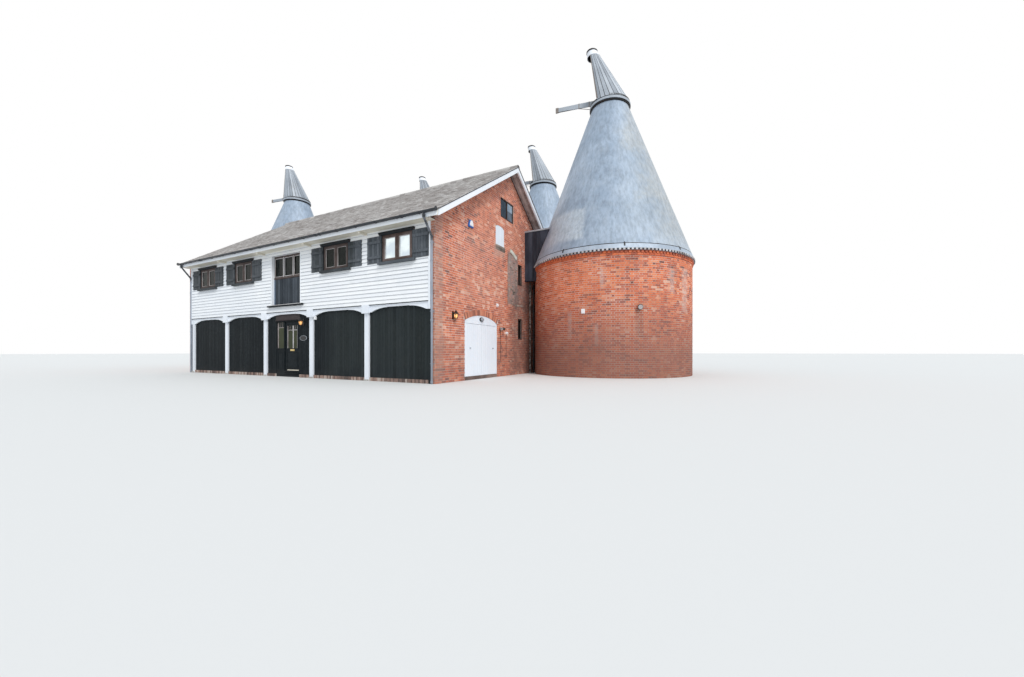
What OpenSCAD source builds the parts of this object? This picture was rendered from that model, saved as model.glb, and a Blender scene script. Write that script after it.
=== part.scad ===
// Oast house: a five-bay hop barn with four round drying kilns around its back.
// Millimetres, +Z up. The origin is on the ground at the middle of the barn's plan,
// -Y is the timber front, +X is the brick gable with the arched doors.

/* [Barn] */
// Spacing of the posts along the front
bay = 2900; // [2700:10:3050]
// Depth of the barn over its walls
barn_w = 9650; // [9400:10:10200]
// Height where the roof's underside meets the outer wall face
eaves_z = 5200; // [5150:10:5500]
// Slope of the roof in degrees
roof_pitch = 33.5; // [30:0.5:38]
// Thickness of the roof with tiles, battens and rafters
roof_t = 150; // [120:5:180]
// Overhang of the roof past the long walls
eaves_over = 330; // [260:5:360]
// Overhang of the roof past the right gable
verge_over = 370; // [250:5:380]
// Overhang of the roof past the left gable
verge_left = 120; // [100:5:380]
// Thickness of the brick walls
brick_t = 225; // [215:5:260]
// Thickness of the timber front wall
front_t = 200; // [180:5:230]
// Height of the ground floor slab
floor_h = 120; // [110:5:160]
// Top of the upper floor
upper_z = 2800; // [2780:10:2900]
// Thickness of the upper floor
upper_t = 250; // [200:5:260]

/* [Timber front] */
// Width and depth of the front posts
post_w = 200; // [170:5:240]
// Height of the brick kerb under the posts
kerb_h = 110; // [90:5:110]
// Underside of the front beam
beam_z = 2450; // [2400:5:2470]
// Length of each curved brace along the beam
brace_l = 800; // [650:10:860]
// Depth of each curved brace at its post
brace_h = 150; // [120:5:180]
// Thickness of the braces
brace_t = 50; // [40:5:60]
// Set-back of the black boarding behind the post faces
boarding_back = 70; // [65:5:90]

/* [Upper windows] */
// Width of a two-light window
window_w = 1290; // [1200:10:1300]
// Underside of the window opening
window_z = 3900; // [3850:10:3950]
// Height of the window opening
window_h = 890; // [820:10:900]
// Shift of each window from the middle of its bay
window_shift = -60; // [-60:5:0]
// Width of a shutter leaf
shutter_w = 650; // [450:10:650]
// Thickness of a shutter leaf
shutter_t = 35; // [25:1:40]

/* [Loading bay] */
// Width of the loading unit over the entry
loading_w = 1880; // [1600:10:1900]
// Depth of the loading unit behind the boarding
loading_in = 100; // [60:5:120]
// Reach of the ledge past each side of the loading unit
ledge_over = 150; // [100:5:250]
// Reach of the ledge in front of the boarding
ledge_out = 100; // [80:5:160]

/* [Entry] */
// Width of the front door leaf
entry_leaf_w = 880; // [820:5:900]
// Height of the front door leaf
entry_leaf_h = 1980; // [1940:5:2000]
// Width of the light beside the front door
side_light_w = 440; // [380:5:460]
// Width of the frame members of the entry
entry_frame = 60; // [50:5:70]
// Shift of the entry from the middle of its bay
entry_shift = -45; // [-60:5:0]

/* [Gable] */
// Width of the arched doorway
gate_w = 2220; // [2100:10:2300]
// Distance of the arched doorway from the front corner
gate_y = 1580; // [1500:10:1650]
// Height of the springing of the arch
gate_spring = 2140; // [2100:10:2170]
// Rise of the arch
gate_rise = 230; // [200:5:260]
// Depth of the brick arch ring
arch_h = 225; // [215:5:240]
// Top of the two door leaves
gate_leaf_top = 1960; // [1940:5:1990]
// Thickness of the gable door leaves
gate_leaf_t = 50; // [44:1:55]
// Overlap of the hatch with the doorway below, measured along the gable
hatch_in = 100; // [0:10:300]
// Distance of the loft window's side from the hatch's side
loft_off = 400; // [300:10:500]
// Distance of the slit windows from the doorway
slit_off = 1880; // [1800:10:1950]
// Distance of the upper link's cheek from the slit windows
upper_link_off = 370; // [300:10:450]

/* [Kilns] */
// Outer diameter of a kiln
kiln_d = 6780; // [6600:10:6800]
// Depth of the first and fourth kilns' axes in front of the rear wall's face
side_kiln_in = 1405; // [1300:5:1500]
// Distance of the fourth kiln's wall from the left gable
side_kiln_gap = 1445; // [1300:5:1700]
// Distance of the fourth kiln's axis behind the first one's
side_kiln_back = 285; // [200:5:350]
// Distance of the second kiln's axis from the right gable
kiln_2_in = 2430; // [2300:10:2600]
// Distance of the third kiln's axis from the right gable
kiln_3_in = 12010; // [11800:10:12100]
// Distance of the rear kilns' walls from the rear wall
rear_kiln_gap = 1320; // [1200:10:1500]
// Thickness of a kiln's wall
kiln_t = 340; // [300:5:360]
// Height of a kiln's brick wall
kiln_h = 4700; // [4600:10:4800]
// Height of the top of a kiln's roof cone
cone_top = 11970; // [11700:10:12100]
// Outer radius of a kiln's roof cone at its top
cone_top_r = 800; // [760:5:850]
// Overhang of a kiln's roof at the eaves
kiln_over = 80; // [60:5:90]
// Outer radius of the curb ring under a cowl
curb_r = 902; // [880:1:950]
// Thickness of the curb ring
curb_t = 100; // [90:5:120]

/* [Cowls] */
// Height of a cowl over its curb
cowl_h = 2700; // [2600:10:2900]
// Radius of a cowl at its base
cowl_r = 880; // [800:5:890]
// Radius of a cowl at its top
cowl_top_r = 215; // [190:5:240]
// Lean of a cowl's top towards its open side
cowl_lean = 800; // [760:5:860]
// Height of the closed collar at the top of a cowl
cowl_collar = 260; // [200:10:320]
// Reach of a cowl's side boards past its axis, at the foot of the open side
cowl_side_foot = 520; // [440:10:600]
// Reach of a cowl's side boards past the leaning axis, under the collar
cowl_side_top = 130; // [30:10:180]
// Direction of the cowls at rest, from the barn's length
cowl_turn = 9; // [-20:1:20]
// Thickness of a cowl's boards
cowl_t = 28; // [22:1:35]
// Reach of the finger board from the cowl's axis
finger_l = 2490; // [2300:10:2600]
// Height of the finger board over the foot of the cowl
finger_z = 250; // [200:10:400]
// Radius of a cowl's turning post
spindle_r = 45; // [40:1:55]
// Running clearance between a cowl and its curb
cowl_gap = 12; // [8:1:15]

/* [Clearances] */
// Gap around a moving door leaf
door_gap = 8; // [7:1:10]
// Radial clearance of a turning post in its bearing
bearing_gap = 0.5; // [0.3:0.1:0.8]

/* [Hidden] */
$fn = 48;
eps = 1;
seat = 0.3;
roof_seat = 0.05;
bays = 5;
half_l = bays * bay / 2;
half_w = barn_w / 2;
rise = tan(roof_pitch);
roof_v = roof_t / cos(roof_pitch);
beam_h = upper_z - upper_t - beam_z;
inner_x = half_l - brick_t;
front_x = -half_l - post_w / 2;
left_x = front_x - brick_t;
inner_front = -half_w + front_t;
inner_rear = half_w - brick_t;

// Underside of the roof at a distance y from the middle of the barn
function under(y) = eaves_z + (half_w - abs(y)) * rise;
// Top of a wall under the roof
function wall_top(y) = under(y) - roof_seat;
// Middle of a bay, counted from the left
function bay_mid(i) = -half_l + (i + 0.5) * bay;
// Radius of a circular segment of width w and rise h
function arc_r(w, h) = (w * w / 4 + h * h) / (2 * h);

edge_y = half_w + eaves_over;
edge_under = under(edge_y);
ridge_z = under(0) + roof_v;
verge_x = half_l + verge_over;
left_verge_x = left_x - verge_left;

// Outline of a gable wall between two depths, seen along X
module gable_outline(y0, y1, z0) {
    polygon(concat(
        [[y0, z0], [y1, z0], [y1, wall_top(y1)]],
        (y0 < 0 && y1 > 0) ? [[0, wall_top(0)]] : [],
        [[y0, wall_top(y0)]]
    ));
}

// Turns an outline in the Y-Z plane into a slab from x0 to x1
module slab_x(x0, x1) {
    translate([x0, 0, 0]) rotate([90, 0, 90]) linear_extrude(x1 - x0) children();
}

// Turns an outline in the X-Z plane into a slab from y0 to y1
module slab_y(y0, y1) {
    translate([0, y1, 0]) rotate([90, 0, 0]) linear_extrude(y1 - y0) children();
}

// Box given by its low and high corners
module box(a, b) {
    translate(a) cube(b - a);
}

// Ground, floors and kerb
module barn_floor() {
    color("silver") box([front_x, inner_front, 0], [inner_x, inner_rear, floor_h]);
}

// Clear span of a bay between its posts, or up to the right gable
function bay_x0(i) = -half_l + i * bay + post_w / 2;
function bay_x1(i) = i == bays - 1 ? inner_x : -half_l + (i + 1) * bay - post_w / 2;

// Fills the bays from a depth y back to the inner face, and leaves the entry open
module bay_infill(y, z0, z1) {
    for (i = [0 : bays - 1])
        if (i == entry_bay) {
            box([bay_x0(i), y, z0], [entry_x0, inner_front, z1]);
            box([entry_x1, y, z0], [bay_x1(i), inner_front, z1]);
        } else
            box([bay_x0(i), y, z0], [bay_x1(i), inner_front, z1]);
}

kerb_back = 30;
module front_kerb() {
    color("indianred") bay_infill(-half_w + kerb_back, 0, kerb_h);
}

module upper_floor() {
    color("burlywood")
        box([front_x, inner_front, upper_z - upper_t], [inner_x, inner_rear, upper_z]);
}

// Brick walls
rear_windows = [2];
ground_window_z = 1000;
ground_window_h = 1050;

module rear_wall() {
    color("firebrick") difference() {
        slab_x(front_x, inner_x) gable_outline(inner_rear, half_w, 0);
        for (i = rear_windows) {
            box([bay_mid(i) - window_w / 2, inner_rear - eps, window_z],
                [bay_mid(i) + window_w / 2, half_w + eps, window_z + window_h]);
            box([bay_mid(i) - window_w / 2, inner_rear - eps, ground_window_z],
                [bay_mid(i) + window_w / 2, half_w + eps, ground_window_z + ground_window_h]);
        }
    }
}

module gable_wall_left() {
    color("firebrick")
        slab_x(left_x, front_x) gable_outline(-half_w, half_w, 0);
}

// Right gable with its arched doorway, hatch, loft window and two slits
gate_y0 = -half_w + gate_y;
gate_y1 = gate_y0 + gate_w;
gate_mid = (gate_y0 + gate_y1) / 2;
arc_radius = arc_r(gate_w, gate_rise);
arc_z = gate_spring + gate_rise - arc_radius;
hatch_w = 700;
hatch_h = 800;
hatch_rise = 90;
hatch_y = gate_y1 - hatch_in;
hatch_z = 5190;
loft_w = 1130;
loft_h = 800;
loft_y = hatch_y + loft_off;
loft_z = 6380;
slit_w = 300;
slit_h = 820;
slit_y = gate_y1 + slit_off;
slit_upper_z = 3920;
slit_lower_z = 1560;

// Rectangle in the Y-Z plane given by its low corner and size
module pane(y, z, w, h) {
    translate([y, z]) square([w, h]);
}

// Rectangle with a segmental arch on top, low corner at y, z
module arched(y, z, w, h, r) {
    pane(y, z, w, h);
    intersection() {
        translate([y + w / 2, z + h + r - arc_r(w, r)]) circle(arc_r(w, r), $fn = 96);
        pane(y, z + h - eps, w, r + 2 * eps);
    }
}

module gable_wall_right_piers() {
    color("firebrick") {
        box([inner_x, -half_w, 0], [half_l, gate_y0, gate_spring]);
        difference() {
            box([inner_x, gate_y1, 0], [half_l, half_w, gate_spring]);
            slab_x(inner_x - eps, half_l + eps) pane(slit_y, slit_lower_z, slit_w, gate_spring);
        }
    }
}

module gable_wall_right_upper() {
    color("firebrick") slab_x(inner_x, half_l) difference() {
        gable_outline(-half_w, half_w, gate_spring);
        intersection() {
            translate([gate_mid, arc_z]) circle(arc_radius + arch_h, $fn = 96);
            pane(gate_y0 - arch_side, gate_spring - eps, gate_w + 2 * arch_side, 2 * arch_h + gate_rise);
        }
        arched(hatch_y, hatch_z, hatch_w, hatch_h - hatch_rise, hatch_rise);
        pane(loft_y, loft_z, loft_w, loft_h);
        pane(slit_y, slit_upper_z, slit_w, slit_h);
        pane(slit_y, gate_spring - eps, slit_w, slit_lower_z + slit_h - gate_spring + eps);
    }
}

// The arch springs a little outside the opening, where its skewbacks lie
arch_side = 60;
module gable_door_arch() {
    color("brown") slab_x(inner_x, half_l) intersection() {
        difference() {
            translate([gate_mid, arc_z]) circle(arc_radius + arch_h, $fn = 96);
            translate([gate_mid, arc_z]) circle(arc_radius, $fn = 96);
        }
        pane(gate_y0 - arch_side, gate_spring, gate_w + 2 * arch_side, 2 * arch_h + gate_rise);
    }
}

// Timber front
pad_h = 45;
pad_out = 30;
// Posts with the pads that they stand on
module front_posts() {
    color("white") for (i = [0 : bays - 1]) translate([-half_l + i * bay, 0, 0]) {
        box([-post_w / 2, -half_w, pad_h], [post_w / 2, inner_front, beam_z]);
        box([-post_w / 2, -half_w - pad_out, 0], [post_w / 2, inner_front, pad_h]);
    }
}

jowl_w = 320;
jowl_z = 2270;
jowl_out = 70;
lip_h = 30;
lip_out = 25;
// Beam with its drip lip and the block over each post
module front_beam() {
    beam_top = beam_z + beam_h;
    color("white") {
        box([front_x, -half_w, beam_z], [inner_x, inner_front, beam_top]);
        box([front_x, -half_w - lip_out, beam_top - lip_h], [inner_x, -half_w + eps, beam_top]);
        for (i = [1 : bays - 1]) translate([-half_l + i * bay, 0, 0])
            box([-jowl_w / 2, -half_w - jowl_out, jowl_z], [jowl_w / 2, -half_w, beam_top]);
    }
}

brace_foot = 110;
brace_tip = 10;
// One curved brace, its post at x = 0 and running towards +X
module brace() {
    curve_r = arc_r(2 * (brace_l - brace_foot), brace_h - brace_tip);
    slab_y(-half_w, -half_w + brace_t) translate([0, beam_z - brace_h]) difference() {
        square([brace_l, brace_h]);
        translate([brace_l, brace_h - brace_tip - curve_r]) circle(curve_r, $fn = 180);
    }
}

module front_braces() {
    color("white") for (i = [0 : bays - 1]) {
        translate([bay_x0(i), 0, 0]) brace();
        translate([bay_x1(i), 0, 0]) mirror([1, 0, 0]) brace();
    }
}

boarding_y = -half_w + boarding_back;
module front_boarding() {
    color("darkslategray") bay_infill(boarding_y, kerb_h, beam_z);
}

window_bays = [0, 1, 3, 4];
entry_bay = 2;
function window_x(i) = bay_mid(i) + window_shift;

module front_upper_wall() {
    color("white") difference() {
        slab_x(front_x, inner_x) gable_outline(-half_w, inner_front, beam_z + beam_h);
        for (i = window_bays)
            box([window_x(i) - window_w / 2, -half_w - eps, window_z],
                [window_x(i) + window_w / 2, inner_front + eps, window_z + window_h]);
        box([loading_x - loading_w / 2, -half_w - eps, upper_z],
            [loading_x + loading_w / 2, inner_front + eps, window_z + window_h]);
    }
}

// Butt hinges. The axis is at the origin, the leaf runs towards +X with its face at
// y = -pin_out, and the frame lies across the gap towards -X
pin_out = 6;
pin_r = 3;
knuckle_r = 5.5;
knuckle_h = 30;
hinge_h = 100;
plate_w = 34;
plate_t = 4;
hinge_share = [0.1, 0.5, 0.86];

module hinge_fixed() {
    for (z = [0, hinge_h - knuckle_h]) translate([0, 0, z]) {
        cylinder(r = knuckle_r, h = knuckle_h);
        box([-door_gap - plate_w, -pin_out - eps, 0], [-door_gap, plate_t - pin_out, knuckle_h]);
        box([-door_gap - eps, eps - pin_out, 0], [0, plate_t - pin_out, knuckle_h]);
    }
    cylinder(r = pin_r, h = hinge_h);
}

module hinge_moving() {
    h = hinge_h - 2 * knuckle_h - 2 * seat;
    translate([0, 0, knuckle_h + seat]) difference() {
        union() {
            cylinder(r = knuckle_r, h = h);
            box([0, -pin_out - eps, 0], [plate_w, plate_t - pin_out, h]);
        }
        translate([0, 0, -eps]) cylinder(r = pin_r + bearing_gap / 2, h = h + 2 * eps);
    }
}

// Entry: frame with a side light on the left and the door on the right
door_z = floor_h + 40;
entry_leaf_y = -half_w + 90;
entry_leaf_t = 45;
entry_opening = entry_leaf_w + 2 * door_gap;
entry_w = 3 * entry_frame + side_light_w + entry_opening;
entry_x0 = entry_shift - entry_w / 2;
entry_x1 = entry_x0 + entry_w;
leaf_x0 = entry_x1 - entry_frame - door_gap - entry_leaf_w;
entry_top = door_z + entry_leaf_h + 2 * door_gap + entry_frame;
side_light_z = 1120;

module entry_lintel() {
    color("saddlebrown") box([entry_x0, boarding_y, entry_top], [entry_x1, inner_front, beam_z]);
}

module entry_hinges() {
    for (share = hinge_share)
        translate([leaf_x0, entry_leaf_y + entry_leaf_t + pin_out, door_z + share * entry_leaf_h])
            children();
}

module entry_frame() {
    frame_y1 = entry_leaf_y + entry_leaf_t;
    light_x0 = entry_x0 + entry_frame;
    color("dimgray") entry_hinges() hinge_fixed();
    color("dimgray") difference() {
        box([entry_x0, boarding_y, 0], [entry_x1, frame_y1, entry_top]);
        box([leaf_x0 - door_gap, boarding_y - eps, door_z],
            [leaf_x0 + entry_leaf_w + door_gap, frame_y1 + eps, entry_top - entry_frame]);
        box([light_x0, boarding_y - eps, side_light_z],
            [light_x0 + side_light_w, frame_y1 + eps, entry_top - entry_frame]);
    }
    color("dimgray") box([entry_x0, frame_y1, 0], [entry_x1, inner_front, floor_h]);
}

module front_door() {
    glass_side = 125;
    color("dimgray") entry_hinges() hinge_moving();
    color("dimgray") difference() {
        box([leaf_x0, entry_leaf_y, door_z + door_gap],
            [leaf_x0 + entry_leaf_w, entry_leaf_y + entry_leaf_t, door_z + door_gap + entry_leaf_h]);
        box([leaf_x0 + glass_side, entry_leaf_y - eps, side_light_z],
            [leaf_x0 + entry_leaf_w - glass_side, entry_leaf_y + 15, entry_top - 200]);
    }
}

// Roof
module roof_plane(side) {
    slab_x(left_verge_x, verge_x) polygon([
        [side * edge_y, edge_under], [0, under(0)], [0, ridge_z], [side * edge_y, edge_under + roof_v]
    ]);
}

// The right rear verge stops above the first kiln's link
module verge_stop_space() {
    box([half_l, verge_stop, 0], [verge_x + board_t + eps, edge_y + 200, ridge_z]);
}

module roof_front() {
    color("rosybrown") roof_plane(-1);
}

module roof_rear() {
    color("rosybrown") difference() {
        roof_plane(1);
        verge_stop_space();
    }
}

ridge_r = 130;
module ridge_tiles() {
    color("sienna") slab_x(left_verge_x, verge_x) difference() {
        translate([0, ridge_z - ridge_r * 0.55]) circle(ridge_r, $fn = 32);
        polygon([
            [0, ridge_z], [2 * ridge_r, ridge_z - 2 * ridge_r * rise],
            [2 * ridge_r, ridge_z - 4 * ridge_r], [-2 * ridge_r, ridge_z - 4 * ridge_r],
            [-2 * ridge_r, ridge_z - 2 * ridge_r * rise]
        ]);
    }
}

board_t = 30;
barge_h = 270;
barge_drop = 30;
barge_hang = barge_drop + barge_h - roof_v;
// Bargeboard over both slopes of a gable, at x verge, with the boarded soffit back to the wall
module bargeboard(wall, verge) {
    slab_x(verge, verge + board_t) polygon([
        [-edge_y, edge_under + roof_v - barge_drop], [0, ridge_z - barge_drop],
        [edge_y, edge_under + roof_v - barge_drop],
        [edge_y, edge_under + roof_v - barge_drop - barge_h],
        [0, ridge_z - barge_drop - barge_h],
        [-edge_y, edge_under + roof_v - barge_drop - barge_h]
    ]);
    slab_x(wall, verge + eps) polygon([
        [-edge_y, edge_under], [0, under(0)], [edge_y, edge_under],
        [edge_y, edge_under - soffit_t], [0, under(0) - soffit_t], [-edge_y, edge_under - soffit_t]
    ]);
}

module bargeboards() {
    color("white") {
        difference() {
            bargeboard(half_l, verge_x);
            verge_stop_space();
        }
        mirror([1, 0, 0]) bargeboard(-left_x, -left_verge_x);
    }
}

fascia_t = 25;
soffit_t = 20;
bracket_w = 90;
// Fascia and soffit along the front, with a painted block at every post
module eaves_side(side) {
    z0 = edge_under - soffit_t;
    mirror([0, side > 0 ? 1 : 0, 0]) {
        x1 = side < 0 ? verge_x : half_l;
        box([left_verge_x, -edge_y - fascia_t, z0 - 10], [x1, -edge_y, edge_under + roof_v - 15]);
        box([left_x, -edge_y - eps, z0], [half_l, -half_w, edge_under]);
        if (side < 0) for (i = [1 : bays - 1])
            translate([-half_l + i * bay, 0, 0])
                box([-bracket_w / 2, -edge_y, z0 - 70], [bracket_w / 2, -half_w, z0]);
    }
}

module eaves_boards() {
    color("ivory") {
        eaves_side(-1);
        eaves_side(1);
    }
}

gutter_r = 60;
gutter_t = 4;
gutter_y = edge_y + fascia_t + gutter_r;
gutter_z = edge_under + roof_v - 40;
module gutter(x1) {
    slab_x(left_verge_x, x1) translate([-gutter_y, gutter_z]) difference() {
        circle(gutter_r, $fn = 32);
        circle(gutter_r - gutter_t, $fn = 32);
        translate([-2 * gutter_r, 0]) square([4 * gutter_r, 2 * gutter_r]);
    }
}

module gutters() {
    color("dimgray") {
        gutter(verge_x);
        mirror([0, 1, 0]) gutter(half_l);
    }
}

pipe_r = 34;
pipe_clip_z = [600, 2200];
pipe_clip_drop = 200;
// One downpipe against the front wall, with its swan neck under the gutter
module downpipe() {
    pipe_y = -half_w - pipe_r - 6;
    neck_z = edge_under - 500;
    translate([0, pipe_y, 0]) cylinder(r = pipe_r, h = neck_z, $fn = 24);
    hull() {
        translate([0, pipe_y, neck_z - 20]) cylinder(r = pipe_r, h = 20, $fn = 24);
        translate([0, -gutter_y, gutter_z - gutter_r - 120]) cylinder(r = pipe_r, h = 20, $fn = 24);
    }
    translate([0, -gutter_y, gutter_z - gutter_r - 120]) cylinder(r = pipe_r, h = 120, $fn = 24);
    for (z = concat(pipe_clip_z, neck_z - pipe_clip_drop))
        box([-18, pipe_y, z], [18, -half_w, z + 30]);
}

module downpipes() {
    color("dimgray") {
        translate([half_l - 85, 0, 0]) downpipe();
        translate([front_x - pipe_r - 6, 0, 0]) downpipe();
    }
}

// Upper windows: frame with two lights, projecting head and sill
// Frame with a row of lights, its face at y
frame_t = 55;
frame_d = 70;
module casements(w, h, lights, y) {
    light_w = (w - (lights + 1) * frame_t) / lights;
    difference() {
        box([-w / 2, y, 0], [w / 2, y + frame_d, h]);
        for (i = [0 : lights - 1])
            translate([-w / 2 + frame_t + i * (light_w + frame_t), 0, 0])
                box([0, y - eps, frame_t], [light_w, y + frame_d + eps, h - frame_t]);
    }
}

frame_proud = 15;
frame_y = -half_w - frame_proud;
sill_over = 125;
sill_out = 110;
head_over = 95;
head_out = 90;
rail_h = 70;
module window_frame(w, h, lights) {
    casements(w, h, lights, frame_y);
    box([-w / 2 - sill_over, -half_w - sill_out, -rail_h], [w / 2 + sill_over, -half_w, 0]);
    box([-w / 2 - head_over, -half_w - head_out, h], [w / 2 + head_over, -half_w, h + rail_h]);
}

module window_frames() {
    color("saddlebrown") {
        for (i = window_bays)
            translate([window_x(i), 0, window_z]) window_frame(window_w, window_h, 2);
        mirror([0, 1, 0]) for (i = rear_windows) {
            translate([bay_mid(i), 0, window_z]) window_frame(window_w, window_h, 2);
            translate([bay_mid(i), 0, ground_window_z])
                window_frame(window_w, ground_window_h, 2);
        }
    }
}

glass_t = 6;
glass_in = 30;
module glass_sheet(w, h, lights, y = frame_y) {
    light_w = (w - (lights + 1) * frame_t) / lights;
    for (i = [0 : lights - 1])
        translate([-w / 2 + frame_t + i * (light_w + frame_t), 0, 0])
            box([0, y + glass_in, frame_t], [light_w, y + glass_in + glass_t, h - frame_t]);
}

module window_glass() {
    color("lightsteelblue", 0.4) {
        for (i = window_bays)
            translate([window_x(i), 0, window_z]) glass_sheet(window_w, window_h, 2);
        mirror([0, 1, 0]) for (i = rear_windows) {
            translate([bay_mid(i), 0, window_z]) glass_sheet(window_w, window_h, 2);
            translate([bay_mid(i), 0, ground_window_z]) glass_sheet(window_w, ground_window_h, 2);
        }
        translate([loading_x, 0, window_z]) glass_sheet(loading_w, window_h, 3, loading_y);
        slab_x(half_l - 60, half_l - 60 + glass_t) for (i = [0, 1])
            pane(loft_y + frame_t + i * (loft_w - frame_t) / 2, loft_z + frame_t,
                (loft_w - 3 * frame_t) / 2, loft_h - 2 * frame_t);
        for (z = [slit_lower_z, slit_upper_z])
            slab_x(half_l - 135, half_l - 135 + glass_t)
                pane(slit_y + 30, z + 30, slit_w - 60, slit_h - 60);
    }
}

shutter_gap = 15;
shutter_trim = 5;
module window_shutters() {
    color("darkslategray") for (i = window_bays, side = [-1, 1])
        translate([window_x(i) + side * (window_w / 2 + shutter_gap + shutter_w / 2), 0, 0])
            box([-shutter_w / 2, -half_w - shutter_t, window_z + shutter_trim],
                [shutter_w / 2, -half_w, window_z + window_h - shutter_trim]);
}

// Loading bay over the entry, set back in the wall: three lights above black boarded
// doors, and a ledge whose back edge runs under them
loading_x = bay_mid(entry_bay) + window_shift;
loading_y = -half_w + loading_in;
ledge_t = 60;
module loading_bay() {
    color("darkslategray") translate([loading_x, 0, 0]) {
        translate([0, 0, window_z]) casements(loading_w, window_h, 3, loading_y);
        box([-loading_w / 2, loading_y, upper_z], [loading_w / 2, loading_y + frame_d - 10, window_z]);
        box([-loading_w / 2, -half_w - eps, upper_z], [loading_w / 2, loading_y + eps, upper_z + 20]);
        box([-loading_w / 2 - ledge_over, -half_w - ledge_out, upper_z - ledge_t + 20],
            [loading_w / 2 + ledge_over, -half_w, upper_z + 20]);
    }
}

// Gable doors: two leaves under a fixed arched head
gate_frame = 50;
gate_leaf_h = gate_leaf_top - floor_h - door_gap;
module gate_hinges(side) {
    y = side < 0 ? gate_y0 + gate_frame + door_gap : gate_y1 - gate_frame - door_gap;
    for (share = hinge_share)
        translate([half_l - 20 + pin_out, y, floor_h + share * gate_leaf_h])
            rotate(-90) mirror([side < 0 ? 1 : 0, 0, 0]) children();
}

module gable_door_frame() {
    color("white") for (side = [-1, 1]) gate_hinges(side) hinge_fixed();
    color("white") slab_x(half_l - 110, half_l - 20) difference() {
        union() {
            pane(gate_y0, 0, gate_w, gate_spring);
            intersection() {
                translate([gate_mid, arc_z]) circle(arc_radius, $fn = 96);
                pane(gate_y0, gate_spring - eps, gate_w, gate_rise + 2 * eps);
            }
        }
        pane(gate_y0 + gate_frame, floor_h, gate_w - 2 * gate_frame, gate_leaf_top + door_gap - floor_h);
    }
}

gate_leaf_w = (gate_w - 2 * gate_frame - 3 * door_gap) / 2;
module gate_leaf(y0) {
    box([half_l - 20 - gate_leaf_t, y0, floor_h + door_gap],
        [half_l - 20, y0 + gate_leaf_w, gate_leaf_top]);
}

module gable_door_left() {
    color("white") gate_hinges(-1) hinge_moving();
    color("white") gate_leaf(gate_y0 + gate_frame + door_gap);
}

module gable_door_right() {
    color("white") gate_hinges(1) hinge_moving();
    color("white") gate_leaf(gate_y1 - gate_frame - door_gap - gate_leaf_w);
}

module gable_hatch() {
    color("white") {
        slab_x(half_l - 60, half_l - 20)
            arched(hatch_y, hatch_z, hatch_w, hatch_h - hatch_rise, hatch_rise);
    }
}

module gable_window_frames() {
    color("saddlebrown") {
        slab_x(half_l - 90, half_l - 20) difference() {
            pane(loft_y, loft_z, loft_w, loft_h);
            for (i = [0, 1])
                pane(loft_y + frame_t + i * (loft_w - frame_t) / 2, loft_z + frame_t,
                    (loft_w - 3 * frame_t) / 2, loft_h - 2 * frame_t);
        }
        for (z = [slit_lower_z, slit_upper_z])
            slab_x(half_l - 150, half_l - 110) difference() {
                pane(slit_y, z, slit_w, slit_h);
                pane(slit_y + 30, z + 30, slit_w - 60, slit_h - 60);
            }
    }
}

// Kilns: centres around the back of the barn
kiln_r = kiln_d / 2;
kiln_inner = kiln_r - kiln_t;
kiln_at = [
    [half_l + seat + kiln_r, half_w - side_kiln_in],
    [half_l - kiln_2_in, half_w + rear_kiln_gap + kiln_r],
    [half_l - kiln_3_in, half_w + rear_kiln_gap + 130 + kiln_r],
    [left_x - side_kiln_gap - kiln_r, half_w - side_kiln_in + side_kiln_back]
];

module kiln_wall(i) {
    color("firebrick") translate(kiln_at[i]) rotate_extrude($fn = 96)
        translate([kiln_inner, 0]) square([kiln_t, kiln_h]);
}

cone_foot = kiln_r + kiln_over;
low_beam_drop = 1100;
beam_low_z = cone_top - low_beam_drop;
bearing_w = 140;
socket_h = 80;
cone_slope = (cone_foot - cone_top_r) / (cone_top - kiln_h - 60);
low_beam_l = cone_foot - (beam_low_z - kiln_h - 60) * cone_slope - 60;
module kiln_roof(i) {
    color("lightgray") translate(kiln_at[i]) difference() {
        union() {
            rotate_extrude($fn = 96) polygon([
                [kiln_inner + 200, kiln_h], [cone_foot, kiln_h], [cone_foot, kiln_h + 60],
                [cone_top_r, cone_top], [curb_r, cone_top], [curb_r, cone_top + curb_t],
                [cone_top_r - 160, cone_top + curb_t], [cone_top_r - 160, cone_top - 40]
            ]);
            box([-cone_top_r + 80, -bearing_w / 2, cone_top],
                [cone_top_r - 80, bearing_w / 2, cone_top + curb_t]);
            box([-low_beam_l, -bearing_w / 2, beam_low_z - 150], [low_beam_l, bearing_w / 2, beam_low_z]);
        }
        translate([0, 0, beam_low_z - socket_h]) cylinder(r = spindle_r + bearing_gap, h = cone_top);
        if (i == 0) box([-2 * kiln_r, -kiln_r, 0], [-kiln_r, kiln_r, cone_top]);
    }
}

cowl_z = cone_top + curb_t + cowl_gap;
cowl_ring_h = 90;
cowl_open_h = cowl_h - cowl_collar;
cowl_open_x = -cowl_lean * cowl_open_h / cowl_h - cowl_side_top;
// Skewed cone of a cowl's boards, inset by a wall thickness
module cowl_cone(inset, low, high) {
    hull() {
        translate([0, 0, cowl_z - low]) cylinder(r = cowl_r - inset, h = 1);
        translate([-cowl_lean, 0, cowl_z + cowl_h + high - 1]) cylinder(r = cowl_top_r - inset, h = 1);
    }
}

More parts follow.
